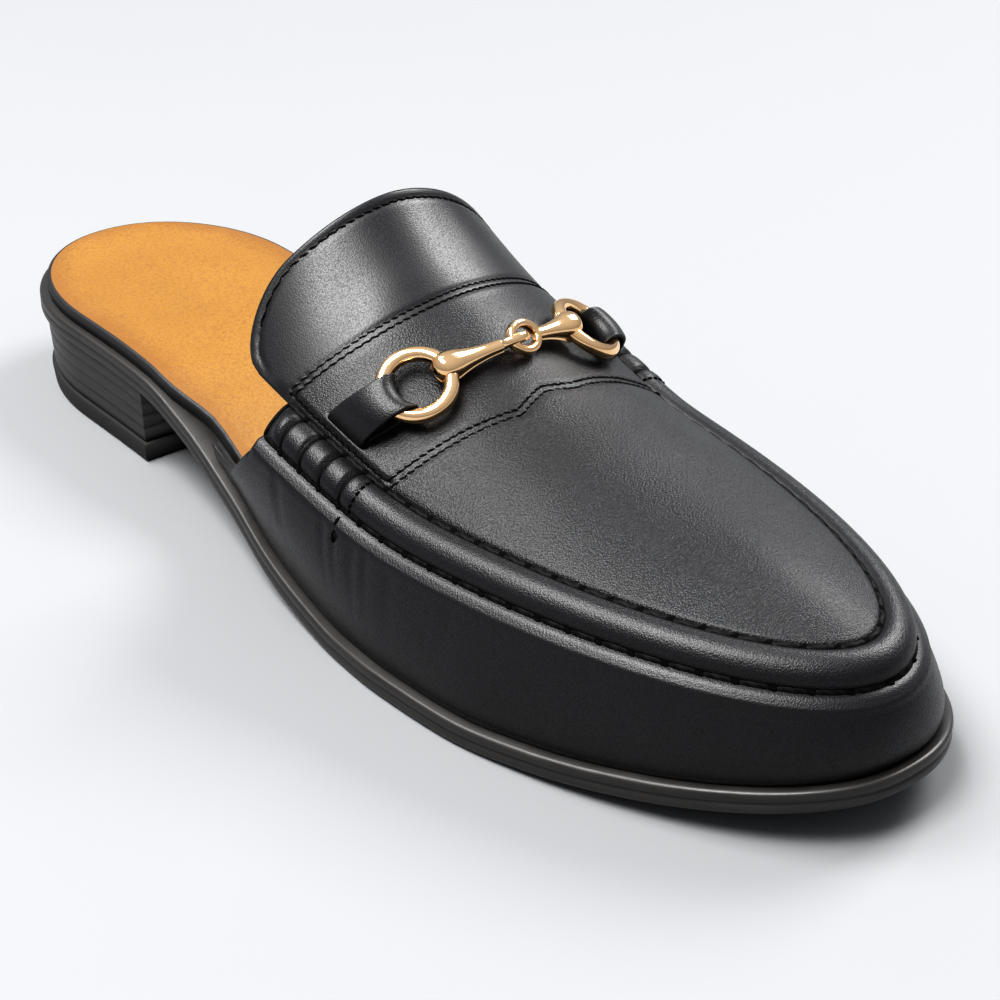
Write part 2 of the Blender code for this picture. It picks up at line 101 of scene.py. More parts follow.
# Upper
WELT_SHOW = 2.5
ROLL_OUT = 6.2
ROLL_DOWN = 4.9
ROLL_HIGH = 2.9
GROOVE = 0.9
STRIP = 2.9
BULGE = 1.6
BELLY_TOP = 0.35           # handles of the wall's curve, as shares of its height
BELLY_FOOT = 0.3
ROLL_END_X = 148.0
TONGUE_BACK = 49.0
TONGUE_CURVE = 0.0072
TONGUE_CORNER = 13.0
QUARTER_BACK_X = 110.0
QUARTER_END = 0.10
QUARTER_SWEEP = 1.7
TUCK_FADE = 0.2            # share of the quarter over which the wall's tuck dies out
STRAIGHT_X = NOTCH_X
APRON_X = NOTCH_X + APRON_LENGTH
SPINE_SHARE = 0.62         # the ridge's line ends at this share of the apron
SPINE_X = NOTCH_X + SPINE_SHARE * APRON_LENGTH
FEATHER_X = LENGTH - WELT_SHOW

# Details of the leather, over the smooth last
LIP = 1.3                  # width over which the apron's edge turns into the groove
STRIP_LIP = 1.1
STRIP_STEEP = 1.41         # length over the strip for a millimetre across
LIP_FADE = 7.0             # the lip dies out over this length behind the roll
WALL_TUCK = 0.45           # the wall starts this far under the strip's edge
WALL_TUCK_DEEP = 1.6
ROLL_TAPER = 5.0           # the roll flattens over this length at its rear end
ROLL_END_LIFT = 0.3        # share of its height there
SADDLE_RAISE = 0.28
SADDLE_EASE = 2.0
STEP_EASE = 1.6
SEAM_STEEP = 1.33          # length over the leather for a millimetre across, at the seam
ROW_WIDE = 0.55
ROW_APART = 1.35
ROW_REACH = 6.0            # a row's groove is not felt further away
ROW_PULL = 0.2             # how the groove's depth swings along a stitch
ROW_END_IN = 0.8
ROW_FADE = 1.5
SIDE_ROW_IN = 1.9          # single row beside the seam, over the leather
SLIT_IN = 3.05             # slit that holds the tab, from the seam along y
SLIT_WIDE = 0.45
SLIT_DEEP = 0.5
SLIT_PAST = 1.0            # its lip runs past its ends
SLIT_FADE = 1.5
SLIT_LIP_IN = 2.45
SLIT_LIP_WIDE = 0.5
SLIT_LIP_HIGH = 0.3
SLIT_REAR, SLIT_FRONT = -25.3, -14.9
TONGUE_ROW_IN = 1.7
FOLD_REACH = 9.0           # square of the distance, in folds' sizes, where a fold ends
RIM_SHADE = 0.7            # burnished border of the insole
RIM_WIDE = 4.5
WRAP_COUNT = 5
FIRST_WRAP = 0.4
SIDE_HOLES = 9             # needle holes at the full pitch, counted from the roll's rear end
LINING_SEAT = 0.1          # how far the lining's glued face sits in the leather
COVER_END = 28.6           # front end of the cover on the roll, along the seam
COVER_THICK = 0.35
COVER_EASE = 0.8
COVER_ROUND = 0.6          # power that rounds the cover over the roll
PINCH_WIDE = 0.62
PUFF_WIDE = 1.8
LINING_SINK = 0.3          # how far the lining follows the stitched groove
WELD = 2e-5                # points of the sheets closer than this, in metres, become one
LAYER_WELD = 1e-5          # the same for the layers of the sole
LAYER_SLIVER = 1e-6        # shorter edges of them, in metres, are taken out

# Strength of the grain, from the smooth tongue to the apron
TONGUE_GRAIN = 0.22
SADDLE_GRAIN = 0.80
APRON_GRAIN = 1.0
ROLL_GRAIN = 0.6
STRIP_GRAIN = 0.45
WALL_GRAIN = 0.5
TAB_GRAIN = 0.5
GRAIN_EASE_REAR = 4.0
GRAIN_EASE_FRONT = 3.0

# Stitched rows on the saddle, from the notch
REAR_AT = -27.2
REAR_CURVE = 0.008
REAR_SKEW = -0.04
REAR_END = 1.6             # the rows stop this far from the seam
FRONT_AT = -6.0            # where the front row nears the seam
FRONT_ENDS = (1.7, 1.3)    # rear and front line of the double row
FRONT_PITCH = 0.9          # in machine stitches
TONGUE_PITCH = 1.2
TONGUE_END = 3.4

# Bit
RING_RADIUS = 7.05
RING_WIRE = 1.6
RING_LIFT = 3.7
RING_AHEAD = -13.9
RING_SPAN = 20.9
RING_PITCH = 0.08
RING_FOOT = 0.9            # depth of the section's lower half, in radii of the wire
RING_FOOT_SQUARE = 0.7     # powers that square it
RING_WALL_SQUARE = 0.55
RING_FOOT_TAPER = 0.10
CAST_LINE = 0.07           # fine line round the wall, and its depth below the middle
CAST_LINE_AT = 0.30
JOINT_AHEAD = -11.0
JOINT_ASIDE = 1.0
JOINT_LIFT = 3.6
EYE_TURN = 0.44
EYE_OVERLAP = 4.0
EYE_BITE = 0.3             # how far the bar runs into its eye
EYE_SQUARE = 0.75
BULB_RADIUS = 3.0
BULB_PAST = 1.05           # the bulb's end beyond the ring's wire, in radii
TAB_WIDTH = 8.8            # at the ring; the slit is a little longer
TAB_THICK = 1.1
TAB_EASE = 0.08
TAB_CURL = 3.2
TAB_SUNK = 0.6             # its ends go this far into the slit
TAB_UNDER, TAB_OVER = 0.55, 0.45  # places of the ends in the slit, in thicknesses
TAB_LEAD, TAB_PULL = 0.42, 0.06  # handles of the upper half's curve, in spans
TAB_UNDER_AT = (0.15, 0.35, 0.6, 0.85)  # places where the lower half is lifted off the leather
TAB_FOLD_STEPS = 16
TAB_OVER_STEPS = 12
TAB_ROWS = 12

# Stage; floor, sky and soft boxes in metres
FLOOR_HALF = 8.0
FLOOR_LEVEL = -0.0002
FLOOR_FAR = (0.85, 0.85, 0.86)
FLOOR_BLEND = 0.5, 3.4
SKY_COLOUR = (0.93, 0.95, 1.0, 1.0)
SKY_LEVEL, SKY_OVERHEAD = 0.28, 0.62
SKY_SEEN = 0.5             # the least that the camera sees of it
SOFTBOX_AWAY = 1.8
SOFTBOX_SIDE = 0.81
LIT_CENTRE = Vector((NOTCH_X - 20.0, 0.0, 40.0))  # in the shoe's own axes
Softbox = namedtuple("Softbox", "name towards power")
SOFTBOXES = (
    Softbox("top_softbox", (0.02, -0.42, 0.91), 42.0),
    Softbox("back_softbox", (-0.08, 0.72, 0.68), 28.0),
    Softbox("heel_softbox", (-0.42, -0.26, 0.87), 22.0),
)

# Camera at the photograph's place, aimed at the whole shoe
CAMERA_BACK = Vector((0.6831, -0.5749, 0.4505))
CAMERA_DISTANCE = 447.43
CAMERA_ROLL = 0.214
AIM = Vector((159.2, 9.0, 12.6))  # in the shoe's own axes
LENS = 79.0
SENSOR_WIDTH = 36.0
CLIP_START = 0.01

SoleRow = namedtuple("SoleRow", "at lateral medial underside")
SOLE = (
    SoleRow(0.00, 33.0, 33.0, 20.0),
    SoleRow(0.10, 33.5, 33.5, 20.0),
    SoleRow(0.20, 33.5, 32.5, 20.0),
    SoleRow(0.27, 33.8, 30.5, 19.4),
    SoleRow(0.34, 35.0, 28.5, 15.6),
    SoleRow(0.42, 38.0, 28.5, 9.4),
    SoleRow(0.50, 42.5, 31.5, 4.0),
    SoleRow(0.56, 45.0, 37.0, 1.2),
    SoleRow(0.61, 46.8, 42.0, 0.0),
    SoleRow(0.66, 47.8, 45.6, 0.0),
    SoleRow(0.73, 47.5, 47.6, 0.0),
    SoleRow(0.80, 45.5, 47.4, 0.8),
    SoleRow(0.88, 42.5, 46.0, 3.2),
    SoleRow(0.94, 40.0, 44.5, 6.0),
    SoleRow(1.00, 37.0, 43.0, 9.5),
)

# Soft troughs (below zero) and ridges of the vamp, saddle and tongue, from the notch
Fold = namedtuple("Fold", "ahead aside long wide high")
FOLDS = (
    Fold(-7.0, -22.0, 4.0, 9.0, -0.30),
    Fold(-7.0, 22.0, 4.0, 9.0, -0.30),
    Fold(-3.5, -12.0, 3.0, 8.0, 0.18),
    Fold(9.0, 2.0, 7.0, 16.0, -0.22),
    Fold(20.0, -16.0, 9.0, 8.0, 0.25),
    Fold(-33.0, -12.0, 4.0, 12.0, 0.25),
    Fold(-40.0, 9.0, 7.0, 6.0, -0.30),
    Fold(-39.0, -20.0, 6.0, 7.0, -0.25),
    Fold(-21.0, 4.0, 4.0, 9.0, 0.22),
)

# Short gathers of the side wall below the strip, along the seam from its rear end
Gather = namedtuple("Gather", "run wide deep reach")
GATHERS = (
    Gather(9.0, 1.6, 0.25, 0.40),
    Gather(24.0, 1.2, 0.30, 0.35),
    Gather(27.5, 1.0, 0.30, 0.30),
    Gather(33.0, 1.4, 0.28, 0.45),
    Gather(37.0, 1.1, 0.25, 0.35),
    Gather(43.0, 1.6, 0.22, 0.40),
    Gather(58.0, 2.0, 0.18, 0.45),
    Gather(88.0, 2.2, 0.15, 0.40),
    Gather(112.0, 2.0, 0.15, 0.40),
)

BarRow = namedtuple("BarRow", "at radius")
BAR = (
    BarRow(0.00, 0.06),
    BarRow(0.02, 0.42),
    BarRow(0.06, 0.72),
    BarRow(0.12, 0.93),
    BarRow(0.20, 1.00),
    BarRow(0.30, 0.95),
    BarRow(0.42, 0.78),
    BarRow(0.58, 0.60),
    BarRow(0.78, 0.47),
    BarRow(0.90, 0.44),
    BarRow(0.96, 0.43),
    BarRow(0.985, 0.38),
    BarRow(1.00, 0.28),
)

# Linked eyes of the two bars: half length and half width of the middle line, then half sizes of the band
Eye = namedtuple("Eye", "long wide thick deep")
EYES = {LATERAL: Eye(2.9, 1.95, 0.80, 0.95), MEDIAL: Eye(3.75, 2.95, 0.92, 1.15)}

# Notch of the saddle's front row on each side of the ridge, and the row's slope back to the seam
NotchArm = namedtuple("NotchArm", "lead half slope")
NOTCH = {LATERAL: NotchArm(2.6, 8.2, 0.297), MEDIAL: NotchArm(1.1, 7.0, 0.17)}

# Half of the bar's cast section below its dome: shares of the radius
SectionRow = namedtuple("SectionRow", "aside high")
BAR_FOOT = (
    SectionRow(0.93, 0.10),
    SectionRow(0.87, -0.05),
    SectionRow(0.84, -0.22),
    SectionRow(0.85, -0.40),
    SectionRow(0.92, -0.52),
    SectionRow(1.00, -0.58),
    SectionRow(1.01, -0.66),
    SectionRow(0.94, -0.72),
    SectionRow(0.60, -0.74),
)
DOME_BASE = 0.22

# Thinned edge of the tab: share of its width, and share of its thickness
TAB_EDGE = ((0.0, 0.66), (0.012, 0.88), (0.04, 0.88))
TAB_EDGE_END = 0.08

# Rounded edge of the insole from its top: inset and drop
INSOLE_EDGE = ((0.9, 0.0), (0.45, 0.1), (0.1, 0.45), (0.0, 0.9), (0.0, INSOLE_THICK))
INSOLE_IN = 1.8
INSOLE_IN_FRONT = 4.0      # further in under the upper
INSOLE_TURN_X = QUARTER_BACK_X - 26.0
INSOLE_TURN = 22.0
DISH_X = 42.0              # hollow of the heel seat
DISH_LONG = 42.0
DISH_DEEP = 1.1
DISH_FROM, DISH_EASE = 2.0, 12.0

# Trimmed edge of the outsole with its groove: inset, and share of the thickness
SOLE_EDGE = ((0.8, 0.0), (0.35, 0.05), (0.1, 0.11), (0.0, 0.18), (0.0, 0.42), (0.22, 0.46),
             (0.22, 0.52), (0.0, 0.56), (0.0, 0.82), (0.1, 0.89), (0.35, 0.95), (0.8, 1.0))

# One layer of the heel: share of its height, and depth of the groove there
HEEL_LAYER = ((0.0, 0.2), (0.06, 0.03), (0.5, 0.0), (0.94, 0.03), (1.0, 0.2))
HEEL_LAYERS = 4
HEEL_IN = 1.0
HEEL_TAPER = 0.8

# Edge of the lift: inset and height
LIFT_EDGE = ((1.5, LIFT_THICK), (1.1, LIFT_THICK - 0.4), (1.5, 0.5), (1.9, 0.0))

Spot = namedtuple("Spot", "point relief grain")
Column = namedtuple("Column", "seam spine feather out")
Rows = namedtuple("Rows", "apron edge roll strip wall side_step toe_step fine")
Size = namedtuple("Size", "moc_pitch row_pitch row_deep thread cord puff pinch leather lining")
LEATHER_ROWS = Rows(36, 16, 24, 6, 16, 0.5, 0.85, True)
LINING_ROWS = Rows(14, 3, 3, 1, 8, 2.4, 3.0, False)
TONGUE_SPAN, TONGUE_LEAST = 18, 6    # length of the tongue's mesh, and its fewest rows
QUARTER_SPAN, QUARTER_LEAST = 22, 8
EDGE_FROM = 0.85           # share of the apron where its rows come closer together


def clamp(value, low=0.0, high=1.0):
    return min(max(value, low), high)


def smooth_step(value):
    value = clamp(value)
    return value * value * (3 - 2 * value)


def bell(distance, wide):
    return math.exp(-((distance / wide) ** 2))


def turns(count):
    """Angles spaced evenly once round."""
    return [2 * math.pi * k / count for k in range(count)]


def ellipse(centre, across, over, wide, high, count):
    """Points once round an ellipse."""
    return [centre + across * (wide * math.cos(turn)) + over * (high * math.sin(turn))
            for turn in turns(count)]


def bezier(start, handle_start, handle_end, end, t):
    return (start * (1 - t) ** 3 + handle_start * 3 * t * (1 - t) ** 2
            + handle_end * 3 * t * t * (1 - t) + end * t**3)


@lru_cache(maxsize=None)
def table_curve(table, column_name):
    """Keys, values and slopes of one column of a table."""
    keys = [row.at for row in table]
    values = [getattr(row, column_name) for row in table]
    steps = [(values[i + 1] - values[i]) / (keys[i + 1] - keys[i]) for i in range(len(keys) - 1)]
    slopes = [steps[0]]
    for before, after in zip(steps, steps[1:]):
        slopes.append(0.0 if before * after <= 0 else 2 * before * after / (before + after))
    slopes.append(steps[-1])
    return keys, values, slopes


def along(table, column_name, at):
    """Smooth value of a table's column, with no overshoot between rows."""
    keys, values, slopes = table_curve(table, column_name)
    at = clamp(at, keys[0], keys[-1])
    i = max(k for k in range(len(keys) - 1) if keys[k] <= at or k == 0)
    h = keys[i + 1] - keys[i]
    t = (at - keys[i]) / h
    return (values[i] * (2 * t**3 - 3 * t**2 + 1) + slopes[i] * h * (t**3 - 2 * t**2 + t)
            + values[i + 1] * (3 * t**2 - 2 * t**3) + slopes[i + 1] * h * (t**3 - t**2))


def underside(x):
    return max(along(SOLE, "underside", x / LENGTH), 0.0)


def sole_top(x):
    return underside(x) + SOLE_THICK


def sole_axis(x):
    return AXIS_SWING * smooth_step((x / LENGTH - AXIS_FROM) / (1 - AXIS_FROM))


def sole_edge(x, side, inset=0.0):
    """y of the sole's outline on one side, moved in by inset all round."""
    at = x / LENGTH
    half = along(SOLE, "lateral" if side == LATERAL else "medial", at) - inset
    tip = 1.0 - inset / LENGTH
    toe = clamp((at - TOE_CAP_FROM) / (tip - TOE_CAP_FROM))
    heel = clamp(1.0 - (at - inset / LENGTH) / HEEL_CAP)
    cap = (1 - toe**TOE_FULLNESS) ** (1 / TOE_FULLNESS)
    cap *= (1 - heel**HEEL_FULLNESS) ** (1 / HEEL_FULLNESS)
    return sole_axis(x) + side * half * cap


def find_shift():
    """Where the shared frame's origin lies in the shoe's own axes."""
    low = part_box("outsole")[0] / MM
    count = 600
    widest = min(sole_edge(LENGTH * i / count, LATERAL) for i in range(count + 1))
    return Vector((-low.x, widest - low.y, 0.0))


SHIFT = find_shift()


def to_row(point):
    return (point - SHIFT) * MM


def ridge_y(x):
    return TOE_SWING * max(x - NOTCH_X, SWING_REAR)


def ridge_z(x):
    u = x - NOTCH_X
    bend = RIDGE_BEND_REAR if u < 0 else RIDGE_BEND_FRONT
    return NOTCH_Z - RIDGE_SLOPE * u + bend * u * u


def seam_half(x):
    u = x - NOTCH_X
    front = clamp((u + APRON_ROUND) / (APRON_LENGTH + APRON_ROUND))
    widest = APRON_HALF - APRON_SPREAD * min(u, 0.0)
    return widest * (1 - front**APRON_POINT) ** (1 / APRON_POINT)


def seam_z(x):
    u = x - NOTCH_X
    behind = (u - math.hypot(u, SEAM_EASE)) / 2
    return NOTCH_Z - SEAM_DROP - SEAM_FALL_FRONT * u - (SEAM_RISE_REAR - SEAM_FALL_FRONT) * behind


def apron(x, across):
    """Point of the apron at x; across is -1 at the lateral seam, 1 at the medial."""
    drop = (ridge_z(x) - seam_z(x)) * abs(across) ** CROWN
    return Vector((x, ridge_y(x) + across * seam_half(x), ridge_z(x) - drop))


def apron_normal(x, across):
    step = 0.01
    ahead = apron(x + 1.0, across) - apron(x - 1.0, across)
    left = apron(x, across + step) - apron(x, across - step)
    return ahead.cross(left).normalized()


def across_of(x, y):
    return (y - ridge_y(x)) / seam_half(x)


def column(side, t):
    """One line over the upper; t is -1 at the roll's rear end, 0 at the notch, 1 at the toe."""
    if t <= 0:
        x_seam = x_spine = x_feather = STRAIGHT_X + t * (STRAIGHT_X - ROLL_END_X)
    else:
        w = math.sin(t * math.pi / 2)
        k = (APRON_X - STRAIGHT_X) / (SPINE_X - STRAIGHT_X)
        x_seam = STRAIGHT_X + (APRON_X - STRAIGHT_X) * w
        x_feather = STRAIGHT_X + (FEATHER_X - STRAIGHT_X) * w
        x_spine = STRAIGHT_X + (SPINE_X - STRAIGHT_X) * (1 - (1 - w) ** k)
    seam = Vector((x_seam, ridge_y(x_seam) + side * seam_half(x_seam), seam_z(x_seam)))
    spine = Vector((x_spine, ridge_y(x_spine), ridge_z(x_spine)))
    y_feather = sole_edge(x_feather, side, WELT_SHOW)
    feather = Vector((x_feather, y_feather, sole_top(x_feather) + GAP))
    out = Vector((feather.x - seam.x, feather.y - seam.y, 0.0))
    if t <= 0:
        out = Vector((0.0, float(side), 0.0))
    return Column(seam, spine, feather, out.normalized())


def roll_axes(col):
    """Chord of the roll, from the apron's seam to the strip, and the way up from it."""
    chord = col.out * ROLL_OUT + DOWN * ROLL_DOWN
    up = (col.out * ROLL_DOWN - DOWN * ROLL_OUT).normalized()
    return chord, up


def roll_point(col, turn, lift=1.0):
    chord, up = roll_axes(col)
    share = 0.5 - 0.5 * math.cos(turn)
    return col.seam + chord * share + up * (ROLL_HIGH * lift * math.sin(turn) - GROOVE)


def roll_normal(col, turn):
    chord, up = roll_axes(col)
    flat = chord.normalized() * (-ROLL_HIGH * math.cos(turn))
    return (flat + up * (chord.length / 2 * math.sin(turn))).normalized()


def fold_point(col):
    return col.seam + col.out * (ROLL_OUT + STRIP) + DOWN * (ROLL_DOWN + STRIP)


def wall_point(col, t):
    """Side wall from the fold (t = 0) to the sole (t = 1), with a slight belly."""
    top = fold_point(col)
    foot = col.feather
    high = top.z - foot.z
    handle_top = top + col.out * BULGE + DOWN * (BELLY_TOP * high)
    handle_foot = foot + col.out * BULGE - DOWN * (BELLY_FOOT * high)
    return bezier(top, handle_top, handle_foot, foot, t)


def tongue_edge_x(across):
    y = abs(across) * APRON_HALF
    x = NOTCH_X - TONGUE_BACK - TONGUE_CURVE * y * y
    past = clamp(y - (APRON_HALF - TONGUE_CORNER), 0.0, TONGUE_CORNER)
    return x + TONGUE_CORNER - math.sqrt(TONGUE_CORNER**2 - past**2)


# Stitched rows, given as x over the distance y from the ridge
def front_row(y):
    notch = NOTCH[MEDIAL if y > 0 else LATERAL]
    side = abs(y)
    lead = notch.lead * min(side / notch.half, 1.0)
    return NOTCH_X + lead - notch.slope * max(side - notch.half, 0.0)


def rear_row(y):
    return NOTCH_X + REAR_AT - REAR_CURVE * y * y + REAR_SKEW * y


def tongue_row(y):
    return tongue_edge_x(y / APRON_HALF) + TONGUE_ROW_IN


def row_slope(row, y):
    return row(y + 0.5) - row(y - 0.5)


def row_groove(x, y, row, shift, size):
    """Depth at a point of the groove that a row of stitches pulls into the leather."""
    away = x - row(y)
    if abs(away) > ROW_REACH:
        return 0.0
    stretch = math.hypot(1.0, row_slope(row, y))
    pulled = 1 - ROW_PULL + ROW_PULL * math.cos(2 * math.pi * y * stretch / size.row_pitch)
    return -size.row_deep * pulled * bell(away / stretch - shift, ROW_WIDE)


def apron_relief(x, y, size):
    """Height over the smooth last: rows, the saddle's step, tab slits and soft folds.

    y is measured from the ridge.
    """
    half = seam_half(x)
    inside = (half - abs(y)) * SEAM_STEEP
    ahead = x - NOTCH_X
    before = smooth_step((front_row(y) - x) / STEP_EASE + 0.5)
    behind = smooth_step((x - rear_row(y)) / STEP_EASE + 0.5)
    high = SADDLE_RAISE * before * behind * smooth_step(inside / SADDLE_EASE)
    fade = smooth_step((inside - ROW_END_IN) / ROW_FADE)
    for row in (front_row, rear_row):
        for shift in (-ROW_APART / 2, ROW_APART / 2):
            high += fade * row_groove(x, y, row, shift, size)
    if x < ROLL_END_X:
        high += fade * row_groove(x, y, tongue_row, 0.0, size)
    if before * behind > 0.5:
        high -= size.row_deep * bell(inside - SIDE_ROW_IN, ROW_WIDE)
        window = smooth_step((ahead - SLIT_REAR + SLIT_PAST) / SLIT_FADE)
        window *= smooth_step((SLIT_FRONT + SLIT_PAST - ahead) / SLIT_FADE)
        high += window * SLIT_LIP_HIGH * bell(inside - SLIT_LIP_IN * SEAM_STEEP, SLIT_LIP_WIDE)
        high -= window * SLIT_DEEP * bell(inside - SLIT_IN * SEAM_STEEP, SLIT_WIDE)
    for fold in FOLDS:
        far = ((ahead - fold.ahead) / fold.long) ** 2 + ((y - fold.aside) / fold.wide) ** 2
        if far < FOLD_REACH:
            high += fold.high * math.exp(-far)
    return high


def apron_grain(x, y):
    """How strongly the pebble grain shows: smooth on the tongue, fullest on the apron."""
    on_saddle = smooth_step((x - rear_row(y)) / GRAIN_EASE_REAR)
    in_front = smooth_step((x - front_row(y)) / GRAIN_EASE_FRONT)
    behind = TONGUE_GRAIN + (SADDLE_GRAIN - TONGUE_GRAIN) * on_saddle
    return behind + (APRON_GRAIN - SADDLE_GRAIN) * in_front


def seam_sink(inside, col, fade=1.0):
    """How the apron's edge turns down into the stitched groove."""
    return roll_axes(col)[1] * (-GROOVE * fade * bell(inside, LIP))


def wrap_offset(run, size):
    """Distance along the seam to the nearest thread wrap over the roll."""
    nearest = clamp(round(run / size.moc_pitch), 0, WRAP_COUNT - 1)
    return run - nearest * size.moc_pitch


def roll_lift(run):
    """Share of the roll's height at a length along the seam."""
    return ROLL_END_LIFT + (1 - ROLL_END_LIFT) * smooth_step(run / ROLL_TAPER)


def roll_relief(run, lift, size):
    """Puffs of the roll's cover between the thread wraps."""
    cover = smooth_step((COVER_END - run) / COVER_EASE + 0.5)
    off = wrap_offset(run, size)
    pinch = size.pinch * bell(off, PINCH_WIDE)
    puff = size.puff * (1 - bell(off, PUFF_WIDE))
    return lift**COVER_ROUND * (cover * (COVER_THICK + puff) - pinch)


def wall_relief(run, t):
    high = 0.0
    for gather in GATHERS:
        high -= gather.deep * bell(run - gather.run, gather.wide) * bell(t, gather.reach)
    return high


def wall_spot(col, t, run, tuck=1.0):
    point = wall_point(col, t)
    if t > 0:
        deep = t * (fold_point(col).z - col.feather.z)
        point -= col.out * (WALL_TUCK * tuck * bell(deep, WALL_TUCK_DEEP))
    return Spot(point, wall_relief(run, t), WALL_GRAIN)


def apron_shares(rows):
    shares = [EDGE_FROM * i / rows.apron for i in range(rows.apron + 1)]
    return shares + [EDGE_FROM + (1 - EDGE_FROM) * (i + 1) / rows.edge for i in range(rows.edge)]


def upper_line(side, t, run, rows, size):
    """Spots of the upper from its spine over the roll to the sole."""
    col = column(side, t)
    chord, up = roll_axes(col)
    fall = ridge_z(col.seam.x) - col.seam.z
    width = (col.seam - col.spine).length
    sink = 1.0 if rows.fine else LINING_SINK
    line = []
    for rho in apron_shares(rows):
        point = col.spine.lerp(col.seam, rho)
        point.z = ridge_z(point.x) - fall * rho**CROWN
        y = point.y - ridge_y(point.x)
        point += seam_sink((1 - rho) * width * SEAM_STEEP, col, sink)
        relief = apron_relief(point.x, y, size) if rows.fine else 0.0
        line.append(Spot(point, relief, apron_grain(point.x, y)))
    lift = roll_lift(run)
    for i in range(1, rows.roll + 1):
        turn = math.pi * i / rows.roll
        if rows.fine:
            relief = roll_relief(run, math.sin(turn), size) * lift
            line.append(Spot(roll_point(col, turn, lift), relief, ROLL_GRAIN))
        else:
            share = 0.5 - 0.5 * math.cos(turn)
            line.append(Spot(col.seam + chord * share - up * (GROOVE * sink), 0.0, ROLL_GRAIN))
    start = col.seam + chord
    edge = fold_point(col)
    for i in range(1, rows.strip + 1):
        share = i / rows.strip
        deep = GROOVE * sink * bell(share * STRIP * STRIP_STEEP, STRIP_LIP)
        line.append(Spot(start.lerp(edge, share) - up * deep, 0.0, STRIP_GRAIN))
    for i in range(1, rows.wall + 1):
        line.append(wall_spot(col, i / rows.wall, run))
    return line


def flap_lines(columns, rows, size):
    """The tongue behind the roll's end, as lines across it from side to side."""
    shares = apron_shares(rows)
    across = [-v for v in reversed(shares[1:])] + shares
    lines = []
    for i in range(columns + 1):
        share = i / columns
        line = []
        for v in across:
            x = ROLL_END_X + (tongue_edge_x(v) - ROLL_END_X) * share
            point = apron(x, v)
            y = point.y - ridge_y(x)
            inside = (1 - abs(v)) * seam_half(x) * SEAM_STEEP
            fade = smooth_step((x - ROLL_END_X) / LIP_FADE + 1.0) * (1.0 if rows.fine else LINING_SINK)
            side = LATERAL if v < 0 else MEDIAL
            point += seam_sink(inside, column(side, -1.0), fade)
            relief = apron_relief(x, y, size) if rows.fine else 0.0
            line.append(Spot(point, relief, apron_grain(x, y)))
        lines.append(line)
    return lines


def quarter_lines(side, columns, rows):
    """The side wall behind the roll's end, falling to the sole."""
    lines = []
    for i in range(columns + 1):
        share = i / columns
        x = ROLL_END_X + (QUARTER_BACK_X - ROLL_END_X) * share
        col = column(side, (x - STRAIGHT_X) / (STRAIGHT_X - ROLL_END_X))
        cut = (1 - QUARTER_END) * (1 - (1 - share) ** QUARTER_SWEEP)
        tuck = max(1 - share / TUCK_FADE, 0.0)
        lines.append([wall_spot(col, cut + (1 - cut) * k / rows.wall, 0.0, tuck)
                      for k in range(rows.wall + 1)])
    return lines


def seam_table():
    """Places (t, run) along the lateral seam; run is its length from the roll's rear end."""
    count = 900
    table = [(-1.0, 0.0)]
    last = column(LATERAL, -1.0).seam
    for i in range(1, count + 1):
        t = -1 + 2 * i / count
        here = column(LATERAL, t).seam
        table.append((t, table[-1][1] + (here - last).length))
        last = here
    return table


SEAM = seam_table()
SEAM_LENGTH = SEAM[-1][1]


def at_run(run):
    """The column parameter t at a length along the seam."""
    for (t0, r0), (t1, r1) in zip(SEAM, SEAM[1:]):
        if run <= r1:
            return t0 + (t1 - t0) * (run - r0) / (r1 - r0)
    return 1.0


def stations(side_step, toe_step):
    """Evenly spaced (t, run) along the seam, closer beside the saddle."""
    corner = next(run for t, run in SEAM if t >= 0)
    side_count = round(corner / side_step)
    toe_count = round((SEAM_LENGTH - corner) / toe_step)
    runs = [corner * i / side_count for i in range(side_count)]
    runs += [corner + (SEAM_LENGTH - corner) * i / toe_count for i in range(toe_count + 1)]
    return [(at_run(run), run) for run in runs]


def skin(bm, grid, closed=False):
    """Faces between neighbouring lines of vertices, each closed on itself where asked."""
    faces = []
    for one, two in zip(grid, grid[1:]):
        count = len(one)
        for k in range(count if closed else count - 1):
            j = (k + 1) % count
            faces.append(bm.faces.new((one[k], one[j], two[j], two[k])))
    return faces


def take_mesh(name, bm):
    mesh = bpy.data.meshes.new(name)
    bm.to_mesh(mesh)
    bm.free()
    return mesh


def upper_sheet(rows, size, depth=0.0):
    """The upper as one sheet of leather, moved inwards by depth."""
    bm = bmesh.new()
    relief = bm.verts.layers.float.new("relief")
    grain = bm.verts.layers.float.new("grain")

    def add_lines(lines):
        grid = []
        for line in lines:
            made = []
            for spot in line:
                vert = bm.verts.new(to_row(spot.point))
                vert[relief] = spot.relief
                vert[grain] = spot.grain
                made.append(vert)
            grid.append(made)
        skin(bm, grid)

    places = stations(rows.side_step, rows.toe_step)
    lateral = [upper_line(LATERAL, t, run, rows, size) for t, run in places]
    medial = [upper_line(MEDIAL, t, run, rows, size) for t, run in places[:-1]]
    add_lines(lateral + medial[::-1])
    add_lines(flap_lines(max(round(TONGUE_SPAN / rows.side_step), TONGUE_LEAST), rows, size))
    for side in (LATERAL, MEDIAL):
        add_lines(quarter_lines(side, max(round(QUARTER_SPAN / rows.side_step), QUARTER_LEAST), rows))

    bmesh.ops.remove_doubles(bm, verts=bm.verts, dist=WELD)
    bmesh.ops.recalc_face_normals(bm, faces=bm.faces)
    top = max(bm.faces, key=lambda f: f.calc_center_median().z)
    if top.normal.z < 0:
        bmesh.ops.reverse_faces(bm, faces=bm.faces)
    bm.normal_update()
    moves = [(vert, vert.normal * ((vert[relief] - depth) * MM)) for vert in bm.verts]
    for vert, move in moves:
        vert.co += move
    return bm


